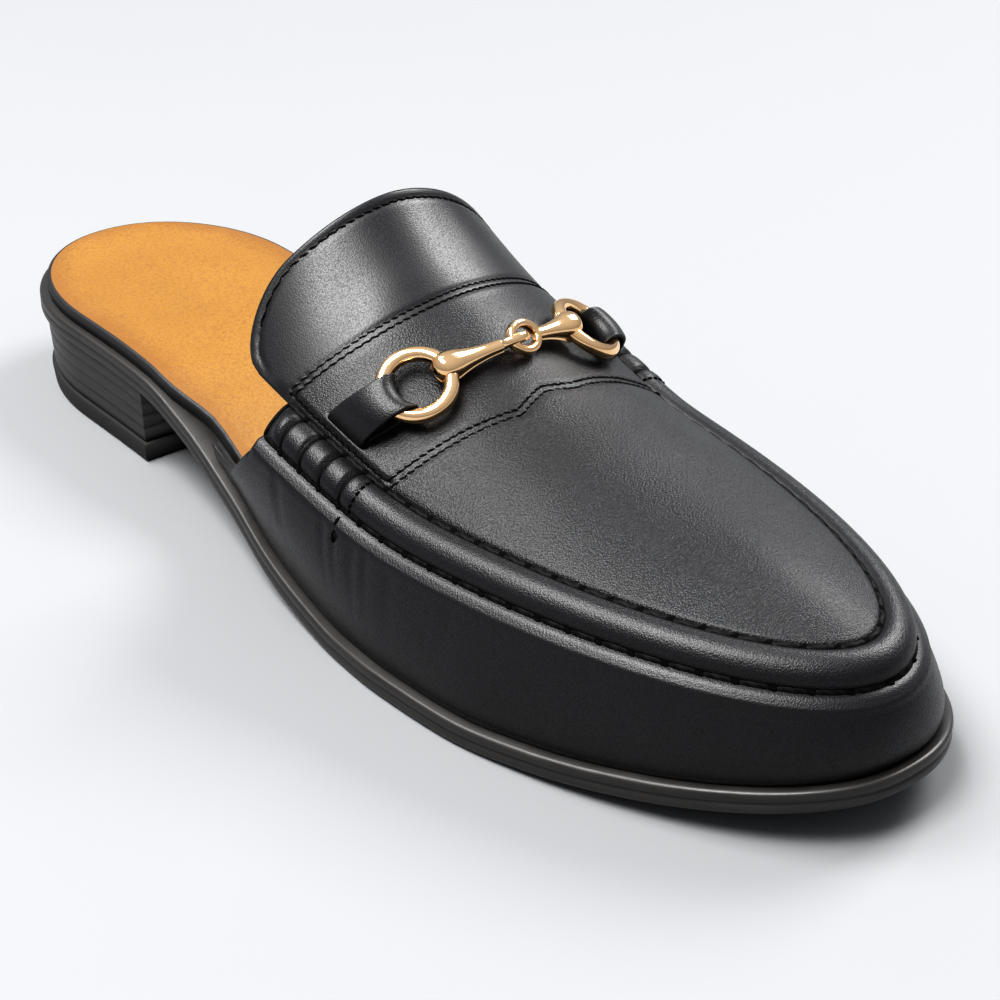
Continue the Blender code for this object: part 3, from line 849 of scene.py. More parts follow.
class Soup:
    """Points, faces and UVs of many small shapes that become one mesh."""

    def __init__(self):
        self.points = []
        self.faces = []
        self.uvs = []

    def add_rings(self, rings, loop=False):
        """Skins over rings of points; open ends are closed with a face each."""
        first = len(self.points)
        count = len(rings[0])
        for ring in rings:
            self.points.extend(to_row(p) for p in ring)
        run = 0.0
        spans = len(rings) if loop else len(rings) - 1
        for r in range(spans):
            after = (r + 1) % len(rings)
            length = (rings[after][0] - rings[r][0]).length
            for k in range(count):
                j = (k + 1) % count
                one, two = first + r * count, first + after * count
                self.faces.append((one + k, one + j, two + j, two + k))
                low, high = k / count, (k + 1) / count
                self.uvs.extend(((run, low), (run, high), (run + length, high), (run + length, low)))
            run += length
        if not loop:
            for start in (first, first + (len(rings) - 1) * count):
                self.faces.append(tuple(start + k for k in range(count)))
                self.uvs.extend((0.0, k / count) for k in range(count))

    def add_thread(self, path, wide, high, sides=6, tip=0.7):
        """A flattened strand along (point, up) pairs, thinner at both ends."""
        rings = []
        last = len(path) - 1
        for i, (point, up) in enumerate(path):
            ahead = (path[min(i + 1, last)][0] - path[max(i - 1, 0)][0]).normalized()
            across = ahead.cross(up).normalized()
            scale = tip if i in (0, last) else 1.0
            rings.append(ellipse(point, across, across.cross(ahead), wide * scale, high * scale, sides))
        self.add_rings(rings)

    def mesh(self, name):
        mesh = bpy.data.meshes.new(name)
        mesh.from_pydata(self.points, [], self.faces)
        layer = mesh.uv_layers.new(name="UVMap")
        for loop, uv in zip(layer.data, self.uvs):
            loop.uv = uv
        return mesh


def add_piece(name, mesh, materials, slot, *nodes):
    """Puts a mesh into the scene as a piece that rides on the shoe."""
    bm = bmesh.new()
    bm.from_mesh(mesh)
    bmesh.ops.recalc_face_normals(bm, faces=bm.faces)
    bm.to_mesh(mesh)
    bm.free()
    mesh.shade_smooth()
    for material in materials:
        mesh.materials.append(material)
    piece = bpy.data.objects.new(name, mesh)
    bpy.context.scene.collection.objects.link(piece)
    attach(piece, "root")
    if nodes:
        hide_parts(*nodes)
    return piece


def add_soup(name, soup, material, slot, *nodes):
    return add_piece(name, soup.mesh(name), (material,), slot, *nodes)


def leather_point(x, y, size):
    """Point on the dressed apron, saddle or tongue and its normal; y from the ridge."""
    v = y / seam_half(x)
    normal = apron_normal(x, v)
    return apron(x, v) + normal * apron_relief(x, y, size), normal


# Height of a stitch over the leather, along its length
STITCH = ((0.0, -0.24), (0.2, -0.03), (0.5, 0.06), (0.8, -0.03), (1.0, -0.24))
COVER_STITCH = ((0.1, -0.25), (0.3, 0.08), (0.5, 0.16), (0.7, 0.08), (0.9, -0.25))
TACK_STITCH = ((0.0, -0.2), (0.3, 0.12), (0.7, 0.12), (1.0, -0.2))
STITCH_SLANT = 0.4
CROWN_SLOPE = 0.5          # usual slope of the leather across a row
SIDE_ROW_REAR = REAR_AT - 9.0
SIDE_ROW_FRONT = -7.4
SIDE_ROW_PITCH = 0.95      # share of a machine stitch's length
SIDE_ROW_LIFT = 0.06
SIDE_HOLE_LIFT = 0.3
COVER_ROW_COUNT = 7
COVER_ROW_END = 0.06       # share of the roll left bare at both ends of the row
COVER_ROW_BACK = 0.3
COVER_ROW_BOW = 0.9
TACKS = ((0.45, 0.95), (1.15, 1.6))  # ends of each tack, in widths of the strip
TACK_BACK = 1.2
TACK_DOWN = 0.2            # share of the wall for one width of the strip
TACK_WIDE, TACK_HIGH = 0.6, 0.5  # in thicknesses of the thread
WRAP_LIFT = 0.18
WRAP_WIDE, WRAP_HIGH = 0.33, 0.22  # in widths of the cord
CORD_WIDE, CORD_HIGH = 1 / 2, 1 / 4.8

# Rings of a hole's near-black cup, painted shade in the hole, from its top: share of its radius, and
# height
STITCH_HOLE = ((0.5, 0.05), (1.0, 0.0), (0.8, -0.3))
STITCH_HOLE_WIDE = 0.58    # radius in thicknesses of the thread
NEEDLE_HOLE = ((0.35, 0.12), (0.75, 0.10), (1.0, 0.0), (1.0, -0.35), (0.4, -0.5))
NEEDLE_HOLE_RADIUS = 0.95
NEEDLE_HOLE_UNEVEN = 0.16
NEEDLE_HOLE_FLAT = 0.8
NEEDLE_HOLE_LIFT = 0.45

# Two strands of the moccasin seam: their place over the roll and their holes' place, depth, rise and lean
Strand = namedtuple("Strand", "over hole sunk rise lean")
OUTER_OVER = 1.03 * math.hypot(ROLL_OUT, ROLL_DOWN)
STRANDS = {
    "inner": Strand(-0.42, -0.3, 0.02, 0.52, -0.3),
    "outer": Strand(OUTER_OVER, OUTER_OVER, 0.12, 0.50, 0.5),
}


def stitch_hole_shade(holes, point, normal, size):
    """Needle hole between two machine stitches, as a near-black cup of painted shade."""
    ahead = normal.orthogonal().normalized()
    across = normal.cross(ahead)
    rings = []
    for scale, high in STITCH_HOLE:
        radius = size.thread * STITCH_HOLE_WIDE * scale
        rings.append(ellipse(point + normal * high, ahead, across, radius, radius, 8))
    holes.add_rings(rings)


def sew_row(soup, holes, row, reach, shift, pitch, size):
    """Lock stitches along a row, as far as reach from the ridge on both sides."""
    y = -reach
    while y < reach:
        slope = row_slope(row, y)
        step = pitch / math.hypot(1.0, slope, CROWN_SLOPE)
        path = []
        for share, sunk in STITCH:
            here = y + step * share
            stretch = math.hypot(1.0, row_slope(row, here))
            slant = (share - 0.5) * STITCH_SLANT
            point, normal = leather_point(row(here) + (shift + slant) * stretch, here, size)
            path.append((point + normal * sunk, normal))
        soup.add_thread(path, size.thread / 2, size.thread / 2)
        point, normal = leather_point(row(y) + shift * math.hypot(1.0, slope), y, size)
        stitch_hole_shade(holes, point, normal, size)
        y += step


def sew_side_row(soup, holes, side, size):
    """The single row beside the seam, between the saddle's rear and front rows."""
    pitch = size.row_pitch * SIDE_ROW_PITCH
    x = NOTCH_X + SIDE_ROW_REAR
    while x < NOTCH_X + SIDE_ROW_FRONT:
        path = []
        for share, sunk in STITCH:
            here = x + pitch * share
            inside = SIDE_ROW_IN + (share - 0.5) * STITCH_SLANT
            point, normal = leather_point(here, side * (seam_half(here) - inside / SEAM_STEEP), size)
            high = sunk + SIDE_ROW_LIFT - GROOVE * bell(inside, LIP)
            path.append((point + normal * high, normal))
        soup.add_thread(path, size.thread / 2, size.thread / 2)
        point, normal = path[0]
        stitch_hole_shade(holes, point + normal * SIDE_HOLE_LIFT, normal, size)
        x += pitch


def hole_runs(size):
    """Lengths along the seam of its needle holes, from the roll's end to the middle of the toe."""
    runs = [k * size.moc_pitch for k in range(SIDE_HOLES)]
    left = SEAM_LENGTH - runs[-1]
    count = round(left / size.moc_pitch)
    return runs + [runs[-1] + left * (k + 1) / count for k in range(count)]


def seam_strand(soup, side, start, end, strand, size):
    """One strand of the moccasin seam, between two needle holes."""
    path = []
    count = 8
    for i in range(count + 1):
        share = i / count
        col = column(side, at_run(start + (end - start) * share))
        chord, up = roll_axes(col)
        high = strand.rise * math.sin(math.pi * share) ** 0.5 - strand.sunk - GROOVE
        point = col.seam + chord.normalized() * strand.over + up * high
        path.append((point, (up + col.out * strand.lean).normalized()))
    soup.add_thread(path, size.cord * CORD_WIDE, size.cord * CORD_HIGH, sides=10, tip=0.6)


def needle_hole_shade(soup, side, run, strand):
    """Dimple where the seam's cord goes through, near-black as painted shade in the hole."""
    col = column(side, at_run(run))
    chord, up = roll_axes(col)
    over = chord.normalized()
    ahead = col.out.cross(up).normalized()
    centre = col.seam + over * strand.hole + up * (NEEDLE_HOLE_LIFT - GROOVE)
    rings = []
    for scale, high in NEEDLE_HOLE:
        ring = []
        for turn in turns(12):
            reach = NEEDLE_HOLE_RADIUS * scale * (1 + NEEDLE_HOLE_UNEVEN * math.cos(3 * turn + run))
            aside = reach * NEEDLE_HOLE_FLAT * math.sin(turn)
            ring.append(centre + ahead * (reach * math.cos(turn)) + over * aside + up * high)
        rings.append(ring)
    soup.add_rings(rings)


def wrap_thread(soup, side, run, size):
    """Cord over the roll from the inner needle hole to the outer one."""
    col = column(side, at_run(run))
    lift = roll_lift(run)
    path = []
    count = 20
    for i in range(count + 1):
        turn = math.pi * i / count
        normal = roll_normal(col, turn)
        high = roll_relief(run, math.sin(turn), size) * lift + WRAP_LIFT
        path.append((roll_point(col, turn, lift) + normal * high, normal))
    soup.add_thread(path, size.cord * WRAP_WIDE, size.cord * WRAP_HIGH, sides=8, tip=0.8)


def cover_stitches(soup, side, size):
    """Small stitches across the roll that hold the front end of its cover."""
    for i in range(COVER_ROW_COUNT):
        path = []
        for share, sunk in COVER_STITCH:
            across = COVER_ROW_END + (1 - 2 * COVER_ROW_END) * (i + share) / COVER_ROW_COUNT
            turn = math.pi * across
            run = COVER_END - COVER_ROW_BACK + COVER_ROW_BOW * math.sin(turn)
            col = column(side, at_run(run))
            normal = roll_normal(col, turn)
            high = roll_relief(run, math.sin(turn), size) + sunk
            path.append((roll_point(col, turn) + normal * high, normal))
        soup.add_thread(path, size.thread / 2, size.thread / 2)


def tack_stitches(soup, side, size):
    """Two short stitches across the strip where the cover's end is tacked down."""
    col = column(side, at_run(COVER_END - TACK_BACK))
    start = col.seam + roll_axes(col)[0]
    edge = fold_point(col)
    slope = (edge - start).normalized()
    face = col.out.cross(slope).cross(slope).normalized()
    if face.dot(col.out) < 0:
        face = -face
    for low, high in TACKS:
        path = []
        for share, sunk in TACK_STITCH:
            at = low + (high - low) * share
            point = start.lerp(edge, at) if at <= 1 else wall_point(col, (at - 1) * TACK_DOWN)
            path.append((point + face * sunk, face))
        soup.add_thread(path, size.thread * TACK_WIDE, size.thread * TACK_HIGH)


def frame_at(x, across, lift):
    """Seat on the apron: a point lifted off the leather and its three axes."""
    up = apron_normal(x, across)
    tilted = (up + Vector((RING_PITCH, 0.0, 0.0))).normalized()
    left = Vector((0.0, 1.0, 0.0))
    left = (left - tilted * left.dot(tilted)).normalized()
    return apron(x, across) + up * lift, left.cross(tilted), left, tilted


def ring_frame(side):
    x = NOTCH_X + RING_AHEAD
    return frame_at(x, across_of(x, side * RING_SPAN), RING_LIFT)


def ring_section(turn):
    """Cast section of a ring: a round top, flatter walls, a fine line and a foot."""
    aside = math.cos(turn)
    high = math.sin(turn)
    if high < 0:
        high = -RING_FOOT * abs(high) ** RING_FOOT_SQUARE
        aside = math.copysign(abs(aside) ** RING_WALL_SQUARE, aside) * (1 - RING_FOOT_TAPER * abs(high))
    line = CAST_LINE * bell(high + CAST_LINE_AT, CAST_LINE) if abs(aside) > 0.5 else 0.0
    return RING_WIRE * (aside + math.copysign(line, aside)), RING_WIRE * high


def ring_rings(centre, ahead, left, up, radius, section, around, stretch=1.0):
    """Sections round a ring; stretch lengthens it along its first axis."""
    rings = []
    for turn in turns(around):
        middle = ahead * (math.cos(turn) * radius * stretch) + left * (math.sin(turn) * radius)
        reach = (ahead * math.cos(turn) + left * (math.sin(turn) * stretch)).normalized()
        rings.append([centre + middle + reach * aside + up * high for aside, high in section])
    return rings


def bar_section(count=18):
    """Outline of the bar's section in shares of its radius, once round."""
    dome = [math.pi / 2 * i / count for i in range(count + 1)]
    half = [(math.sin(turn), DOME_BASE + (1 - DOME_BASE) * math.cos(turn)) for turn in dome]
    half += [(row.aside, row.high) for row in BAR_FOOT]
    return half + [(-aside, high) for aside, high in reversed(half[1:])]


def add_bar(soup, side):
    """Half of the bit: the bulb over the ring, the neck and the eye."""
    centre, _, left, up = ring_frame(side)
    pin = centre - left * side * RING_RADIUS
    x_joint = NOTCH_X + JOINT_AHEAD
    seat = across_of(x_joint, JOINT_ASIDE)
    joint = apron(x_joint, seat) + apron_normal(x_joint, seat) * JOINT_LIFT
    eye = EYES[side]
    hub = joint + Vector((0.0, side * (eye.long - EYE_OVERLAP / 2), 0.0))
    axis = (hub - pin).normalized()
    start = pin - axis * BULB_RADIUS * BULB_PAST
    length = (hub - axis * (eye.long - EYE_BITE) - start).length
    cross = axis.cross(up).normalized()
    over = cross.cross(axis).normalized()
    outline = bar_section()
    rings = []
    count = 64
    for i in range(count + 1):
        at = 0.5 - 0.5 * math.cos(math.pi * i / count)
        radius = BULB_RADIUS * along(BAR, "radius", at)
        here = start + axis * length * at
        rings.append([here + (cross * aside + over * high) * radius for aside, high in outline])
    soup.add_rings(rings)
    lean = over * math.cos(EYE_TURN) + cross * (side * -math.sin(EYE_TURN))
    axes = (axis, lean.cross(axis), lean) if side == MEDIAL else (axis, lean, axis.cross(lean))
    section = []
    for turn in turns(20):
        aside = math.copysign(abs(math.cos(turn)) ** EYE_SQUARE, math.cos(turn))
        high = math.copysign(abs(math.sin(turn)) ** EYE_SQUARE, math.sin(turn))
        section.append((eye.thick * aside, eye.deep * high))
    soup.add_rings(ring_rings(hub, *axes, eye.wide, section, 48, eye.long / eye.wide), loop=True)


def leather_height(point, up):
    """Distance along up from a point to the apron's face, below zero when under it."""
    high = 0.0
    for _ in range(4):
        here = point + up * high
        high += (apron(here.x, across_of(here.x, here.y)).z - here.z) * up.z
    return high


def slit_at(side, share):
    """Point of the tab's slit and the leather's normal there; share runs from its rear end."""
    x = NOTCH_X + SLIT_REAR + (SLIT_FRONT - SLIT_REAR) * share
    across = side * (1 - SLIT_IN / seam_half(x))
    return apron(x, across), apron_normal(x, across)


def tab_line(side, share):
    """Middle line of the folded tab at a share of its width, from the slit and back to it."""
    centre, ahead, left, up = ring_frame(side)
    out = left * side
    offset = TAB_WIDTH * (share - 0.5)
    wire_at = math.sqrt(RING_RADIUS**2 - offset**2)
    clear = RING_WIRE + TAB_EASE
    bend = clear + TAB_THICK / 2
    reach = clear * RING_RADIUS / wire_at + TAB_THICK / 2
    hub = centre + ahead * offset + out * wire_at
    fold = []
    for i in range(TAB_FOLD_STEPS + 1):
        turn = -math.pi / 2 - math.pi * i / TAB_FOLD_STEPS
        fold.append(hub + out * (reach * math.cos(turn)) + up * (bend * math.sin(turn)))
    slit, normal = slit_at(side, share)
    seat = GAP + TAB_THICK / 2
    low = slit - normal * TAB_SUNK - out * (TAB_THICK * TAB_UNDER)
    under = [low]
    for t in TAB_UNDER_AT:
        point = low.lerp(fold[0], t)
        under.append(point + up * max(leather_height(point, up) + seat, 0.0))
    high = slit - normal * TAB_SUNK + out * (TAB_THICK * TAB_OVER)
    span = (high - fold[-1]).length
    handles = (fold[-1] + out * (TAB_LEAD * span), high + normal * TAB_CURL - out * (TAB_PULL * span))
    ends = [(i + 1) / TAB_OVER_STEPS for i in range(TAB_OVER_STEPS)]
    over = [bezier(fold[-1], *handles, high, t) for t in ends]
    return spline(under, 4) + fold + over


def spline(points, steps):
    """Points along a smooth curve through the given ones."""
    ends = [points[0], *points, points[-1]]
    curve = []
    for i in range(len(points) - 1):
        p0, p1, p2, p3 = ends[i:i + 4]
        for k in range(steps):
            t = k / steps
            curve.append((p1 * 2 + (p2 - p0) * t + (p0 * 2 - p1 * 5 + p2 * 4 - p3) * t * t
                          + (p1 * 3 - p0 - p2 * 3 + p3) * t**3) / 2)
    return curve + [points[-1]]


def tab_mesh(name, side):
    """Leather loop that holds the ring to the saddle; its long sides are cut edges."""
    ahead = ring_frame(side)[1]
    bm = bmesh.new()
    loops = []
    flat = 1 - 2 * TAB_EDGE_END
    middle = [(TAB_EDGE_END + flat * i / TAB_ROWS, 1.0) for i in range(TAB_ROWS + 1)]
    far = [(1.0 - share, thin) for share, thin in reversed(TAB_EDGE)]
    for share, thin in [*TAB_EDGE, *middle, *far]:
        line = tab_line(side, share)
        outer, inner = [], []
        for k, point in enumerate(line):
            run = line[min(k + 1, len(line) - 1)] - line[max(k - 1, 0)]
            face = run.cross(ahead).normalized() * (thin * TAB_THICK / 2)
            outer.append(bm.verts.new(to_row(point + face)))
            inner.append(bm.verts.new(to_row(point - face)))
        loops.append(outer + inner[::-1])
    skin(bm, loops, closed=True)
    count = len(loops[0])
    for loop in (loops[0], loops[-1]):
        for k in range(count // 2 - 1):
            cut = bm.faces.new((loop[k], loop[k + 1], loop[count - 2 - k], loop[count - 1 - k]))
            cut.material_index = 1
    return take_mesh(name, bm)


def outline(front, back, inset, height, edge, count):
    """Closed loop round a layer of the sole, moved in by inset."""
    middle, half = (front + back) / 2, (front - back) / 2 - inset
    xs = [middle + half * math.cos(math.pi * i / count) for i in range(count + 1)]
    lateral = [Vector((x, edge(x, LATERAL, inset), height(x))) for x in xs]
    medial = [Vector((x, edge(x, MEDIAL, inset), height(x))) for x in xs]
    return lateral, medial


def layer_mesh(name, front, back, edge, rings, count, dish=None):
    """Solid between stacked outlines, given as (inset, height function) from the top.

    dish(x, v) is added to the height of the top face, v running across it.
    """
    bm = bmesh.new()
    loops = []
    caps = []
    for inset, height in rings:
        lateral, medial = outline(front, back, inset, height, edge, count)
        caps.append((lateral, medial))
        loops.append([bm.verts.new(to_row(p)) for p in lateral + medial[::-1]])
    for face in skin(bm, loops, closed=True):
        face.material_index = 1
    across = 16
    for index in (0, len(rings) - 1):
        lateral, medial = caps[index]
        grid = []
        for near, far in zip(lateral, medial):
            line = []
            for k in range(across + 1):
                point = near.lerp(far, k / across)
                if dish and index == 0:
                    point.z += dish(point.x, 2 * k / across - 1)
                line.append(bm.verts.new(to_row(point)))
            grid.append(line)
        skin(bm, grid)
    bmesh.ops.remove_doubles(bm, verts=bm.verts, dist=LAYER_WELD)
    bmesh.ops.dissolve_degenerate(bm, edges=bm.edges, dist=LAYER_SLIVER)
    return take_mesh(name, bm)


def insole_inset(x):
    """The insole reaches the sole's edge at the open heel and the wall in front."""
    return INSOLE_IN + INSOLE_IN_FRONT * smooth_step((x - INSOLE_TURN_X) / INSOLE_TURN)


def insole_top(x):
    return sole_top(x) + GAP + INSOLE_THICK


def insole_dish(x, v):
    """Hollow of the heel seat; v runs across it from -1 to 1."""
    deep = DISH_DEEP * bell(x - DISH_X, DISH_LONG) * smooth_step((x - DISH_FROM) / DISH_EASE)
    return -deep * (1 - v * v)


class Nodes:
    """Adds shader nodes to a tree."""

    def __init__(self, tree):
        self.tree = tree

    def feed(self, socket, value):
        """Links a socket to another one, or sets its value."""
        if isinstance(value, bpy.types.NodeSocket):
            self.tree.links.new(value, socket)
        else:
            socket.default_value = value

    def add(self, kind, inputs=None, **settings):
        """A node with its settings and its inputs: values, or sockets to link."""
        made = self.tree.nodes.new("ShaderNode" + kind)
        for key, value in settings.items():
            setattr(made, key, value)
        for key, value in (inputs or {}).items():
            self.feed(made.inputs[key], value)
        return made

    def math(self, operation, one, two):
        return self.add("Math", {0: one, 1: two}, operation=operation).outputs[0]

    def vector_math(self, operation, inputs):
        return self.add("VectorMath", inputs, operation=operation)

    def between(self, value, low, high):
        """A value from 0 to 1 spread between two others."""
        return self.add("MapRange", {"Value": value, "To Min": low, "To Max": high}).outputs["Result"]

    def share(self, value, low, high):
        """Share from 0 to 1 of the way from one value to another."""
        return self.add("MapRange", {"Value": value, "From Min": low, "From Max": high}).outputs["Result"]


class Surface(Nodes):
    """A material in the making: its shader, and the coordinates that its patterns lie in."""

    def __init__(self, name, colour, roughness, space="Object", **sockets):
        self.material = bpy.data.materials.new(name)
        self.material.use_nodes = True
        super().__init__(self.material.node_tree)
        self.shader = self.tree.nodes["Principled BSDF"]
        self.place = self.add("TexCoord").outputs[space]
        self.set("Base Color", (*colour, 1.0))
        self.set("Roughness", roughness)
        for key, value in sockets.items():
            self.set(key.replace("_", " "), value)

    def set(self, key, value):
        self.feed(self.shader.inputs[key], value)

    def stretched(self, scale):
        """The coordinates multiplied by a scale along each axis."""
        return self.add("Mapping", {"Vector": self.place, "Scale": scale}).outputs[0]

    def noise(self, scale, detail, **inputs):
        inputs = {"Vector": self.place, "Scale": scale, "Detail": detail, **inputs}
        return self.add("TexNoise", inputs).outputs[0]

    def paint(self, factor, dark, light):
        """Base colour blended between two colours."""
        mix = self.add("Mix", data_type="RGBA")
        for index, value in ((0, factor), (6, (*dark, 1.0)), (7, (*light, 1.0))):
            self.feed(mix.inputs[index], value)
        self.set("Base Color", mix.outputs[2])

    def dull(self, factor, low, high):
        """Roughness blended between two values."""
        self.set("Roughness", self.between(factor, low, high))

    def emboss(self, height, deep, strength):
        """Bump of a pattern, as deep as given in metres."""
        bump = self.add("Bump", {"Height": height, "Distance": deep, "Strength": strength})
        self.set("Normal", bump.outputs[0])

    def pebbles(self, cell, stretch):
        """Raised pebbles with fine pores between them, as a height from 0 to 1."""
        bend = self.add("TexNoise", {"Vector": self.place, "Scale": 0.4 / cell, "Detail": 1.0})
        centred = self.vector_math("SUBTRACT", {0: bend.outputs["Color"], 1: (0.5, 0.5, 0.5)})
        scaled = self.vector_math("SCALE", {0: centred.outputs[0], "Scale": cell * 0.5})
        warped = self.vector_math("ADD", {0: self.place, 1: scaled.outputs[0]})
        mapped = self.add("Mapping", {"Vector": warped.outputs[0], "Scale": stretch}).outputs[0]
        pebble = self.add("TexVoronoi", {"Vector": mapped, "Scale": 1.0 / cell}, feature="F1")
        pores = self.noise(2.6 / cell, 3.0, Vector=mapped, Roughness=0.6)
        raised = self.math("SUBTRACT", 1.0, pebble.outputs["Distance"])
        return self.math("ADD", raised, self.math("MULTIPLY", pores, 0.2))


def tint(colour, *factors):
    """A colour times a factor for each channel, or one factor for all."""
    if len(factors) == 1:
        factors *= len(colour)
    return tuple(channel * factor for channel, factor in zip(colour, factors))


def leather_material(finish, name, grain=None):
    """Black grained leather with painted shade in the grain's pits; the grain's strength is read from the
    mesh where none is given.
    """
    leather = Surface(name, finish.leather, 0.40, Coat_Weight=0.10, Coat_Roughness=0.28,
                      Specular_IOR_Level=0.44)
    if grain is None:
        grain = leather.add("Attribute", attribute_name="grain").outputs["Fac"]
    height = leather.pebbles(finish.grain_cell, (1.0, 0.72, 0.9))
    # Painted shade: base colour darker in the grain's pits and lighter on the pebble tops, times a
    # large-scale wear tone; the roughness follows it too.
    wear_and_pit_shade = leather.math("MULTIPLY", height, leather.math("ADD", leather.noise(45.0, 4.0), 0.4))
    leather.paint(wear_and_pit_shade, tint(finish.leather, 0.35), tint(finish.leather, 1.5))
    leather.dull(wear_and_pit_shade, 0.56, 0.28)
    leather.emboss(height, finish.grain_deep, grain)
    # Painted shade: the specular tint is lowered in the grain's pits, where the leather would shade its
    # own reflections.
    pit_shade = leather.math("MULTIPLY", leather.share(height, 0.95, 0.45), grain)
    leather.set("Specular Tint", leather.between(pit_shade, 1.0, 0.6))
    return leather.material


def tan_material(finish):
    """Tan leather, mottled, and darker where the mesh says that its rim is burnished."""
    tan = Surface("tan_leather", finish.lining, 0.5, Sheen_Weight=0.1)
    height = tan.pebbles(0.0007, (1.0, 1.0, 1.0))
    wear = tan.noise(40.0, 6.0, Roughness=0.65)
    rim = tan.add("Attribute", attribute_name="rim").outputs["Fac"]
    tone = tan.math("MULTIPLY", height, tan.math("ADD", wear, 0.35))
    tan.paint(tan.math("SUBTRACT", tone, rim), tint(finish.lining, 0.70, 0.58, 0.45), finish.lining)
    tan.dull(wear, 0.38, 0.60)
    tan.emboss(height, 0.00009, 0.6)
    return tan.material


def edge_material(finish):
    """Painted cut edge of leather: dark, a little rough and uneven."""
    edge = Surface("painted_edge", finish.edge, 0.5)
    fibre = edge.noise(1800.0, 4.0)
    edge.dull(fibre, 0.40, 0.70)
    edge.emboss(fibre, 0.0001, 0.6)
    return edge.material


def thread_material(finish, name, twist, roughness, tone):
    """Black thread; twist is the length of one turn of its plies, in millimetres."""
    black = tint(finish.thread, tone)
    thread = Surface(name, black, roughness, "UV", Specular_IOR_Level=0.08)
    wave = {"Vector": thread.stretched((1.0 / twist, 3.0, 1.0)), "Scale": 0.32, "Distortion": 0.8}
    plies = thread.add("TexWave", wave, bands_direction="DIAGONAL").outputs["Fac"]
    thread.paint(plies, tint(black, 0.6), tint(black, 1.6))
    thread.emboss(plies, 0.0001, 0.6)
    return thread.material


def hole_shade_material(finish):
    """Near-black painted shade inside a needle hole, with a frayed bump."""
    hole = Surface("needle_hole_shade", tint(finish.thread, 0.25), 0.9, Specular_IOR_Level=0.1)
    hole.emboss(hole.noise(2500.0, 3.0), 0.0002, 0.8)
    return hole.material


def gilt_material(finish):
    """Polished pale gilt metal with faint casting waves and hairline scratches."""
    gilt = Surface("gilt_metal", finish.metal, 0.2, Metallic=1.0)
    tone = gilt.noise(160.0, 3.0)
    gilt.paint(tone, tint(finish.metal, 0.97, 0.90, 0.76), finish.metal)
    gilt.dull(tone, 0.06, 0.15)
    gilt.emboss(gilt.noise(1.0, 5.0, Vector=gilt.stretched((900.0, 160.0, 900.0))), 0.0001, 0.06)
    return gilt.material


def sole_material(finish, name, roughness, layer):
    """Dyed and burnished sole edge with the faint lines of its layers."""
    sole = Surface(name, finish.sole, roughness, Coat_Weight=0.08)
    lines = sole.noise(1.0, 4.0, Vector=sole.stretched((60.0, 60.0, 1.0 / layer)))
    sole.paint(lines, finish.sole, tuple(channel * 2.2 + 0.004 for channel in finish.sole))
    sole.dull(lines, roughness - 0.08, roughness + 0.12)
    sole.emboss(lines, 0.0002, 0.4)
    return sole.material


def rubber_material(finish):
    """Matt rubber with a fine crumb."""
    rubber = Surface("lift_rubber", finish.sole, 0.7)
    crumb = rubber.noise(2200.0, 3.0)
    rubber.dull(crumb, 0.6, 0.85)
    rubber.emboss(crumb, 0.0001, 0.5)
    return rubber.material


def floor_material(finish):
    """Pale floor, painted lighter towards its far ends, where less of the lamps' light falls."""
    floor = Surface("pale_floor", finish.floor, 0.75)
    floor.dull(floor.noise(12.0, 3.0), 0.68, 0.82)
    reach = floor.vector_math("LENGTH", {0: floor.place}).outputs["Value"]
    floor.paint(floor.share(reach, *FLOOR_BLEND), finish.floor, FLOOR_FAR)
    return floor.material


Length = partial(FloatProperty, unit="LENGTH")
Colour = partial(FloatVectorProperty, subtype="COLOR", min=0.0, max=1.0)


class MuleSizes(bpy.types.PropertyGroup):
    """Sizes of the leather's and the thread's details."""

    moc_pitch: Length(name="Seam pitch", description="Distance between the seam's holes", default=0.0063)
    row_pitch: Length(name="Stitch pitch", description="Length of a machine stitch", default=0.0020)
    row_deep: Length(name="Row depth", description="Depth of the groove under a row", default=0.00042)
    thread: Length(name="Thread", description="Thickness of the machine thread", default=0.00055)
    cord: Length(name="Seam cord", description="Width of the waxed cord in the seam", default=0.0013)
    puff: Length(name="Puff", description="Rise of the roll's cover between two wraps", default=0.00012)
    pinch: Length(name="Pinch", description="How deep a wrap pulls into the roll", default=0.00095)
    leather: Length(name="Leather", description="Thickness of the upper's leather", default=0.00115)
    lining: Length(name="Lining", description="Thickness of the lining", default=0.0009)


class MuleFinish(bpy.types.PropertyGroup):
    """Colours and grain of the shoe's materials."""

    leather: Colour(name="Leather", description="Colour of the upper", default=(0.0050, 0.0050, 0.0056))
    lining: Colour(name="Lining", description="Colour of lining and insole", default=(0.25, 0.122, 0.008))
    edge: Colour(name="Edges", description="Paint on cut edges", default=(0.008, 0.008, 0.009))
    thread: Colour(name="Thread", description="Colour of the thread", default=(0.006, 0.006, 0.006))
    metal: Colour(name="Metal", description="Colour of the bit", default=(1.0, 0.715, 0.44))
    sole: Colour(name="Sole", description="Colour of sole and heel", default=(0.010, 0.009, 0.008))
    floor: Colour(name="Floor", description="Colour of the floor", default=(0.225, 0.227, 0.231))
    grain_cell: Length(name="Grain", description="Size of a pebble of the grain", default=0.00033)
    grain_deep: Length(name="Grain depth", description="Height of the grain", default=0.00012)


def read_sizes(context):
    """The sizes in millimetres."""
    given = context.scene.mule_sizes
    return Size(*(getattr(given, name) / MM for name in Size._fields))


def add_shell(piece, thickness):
    """Gives a sheet its thickness, inwards, with painted edges."""
    shell = piece.modifiers.new("thickness", "SOLIDIFY")
    shell.thickness = thickness * MM
    shell.offset = -1.0
    shell.material_offset_rim = 1


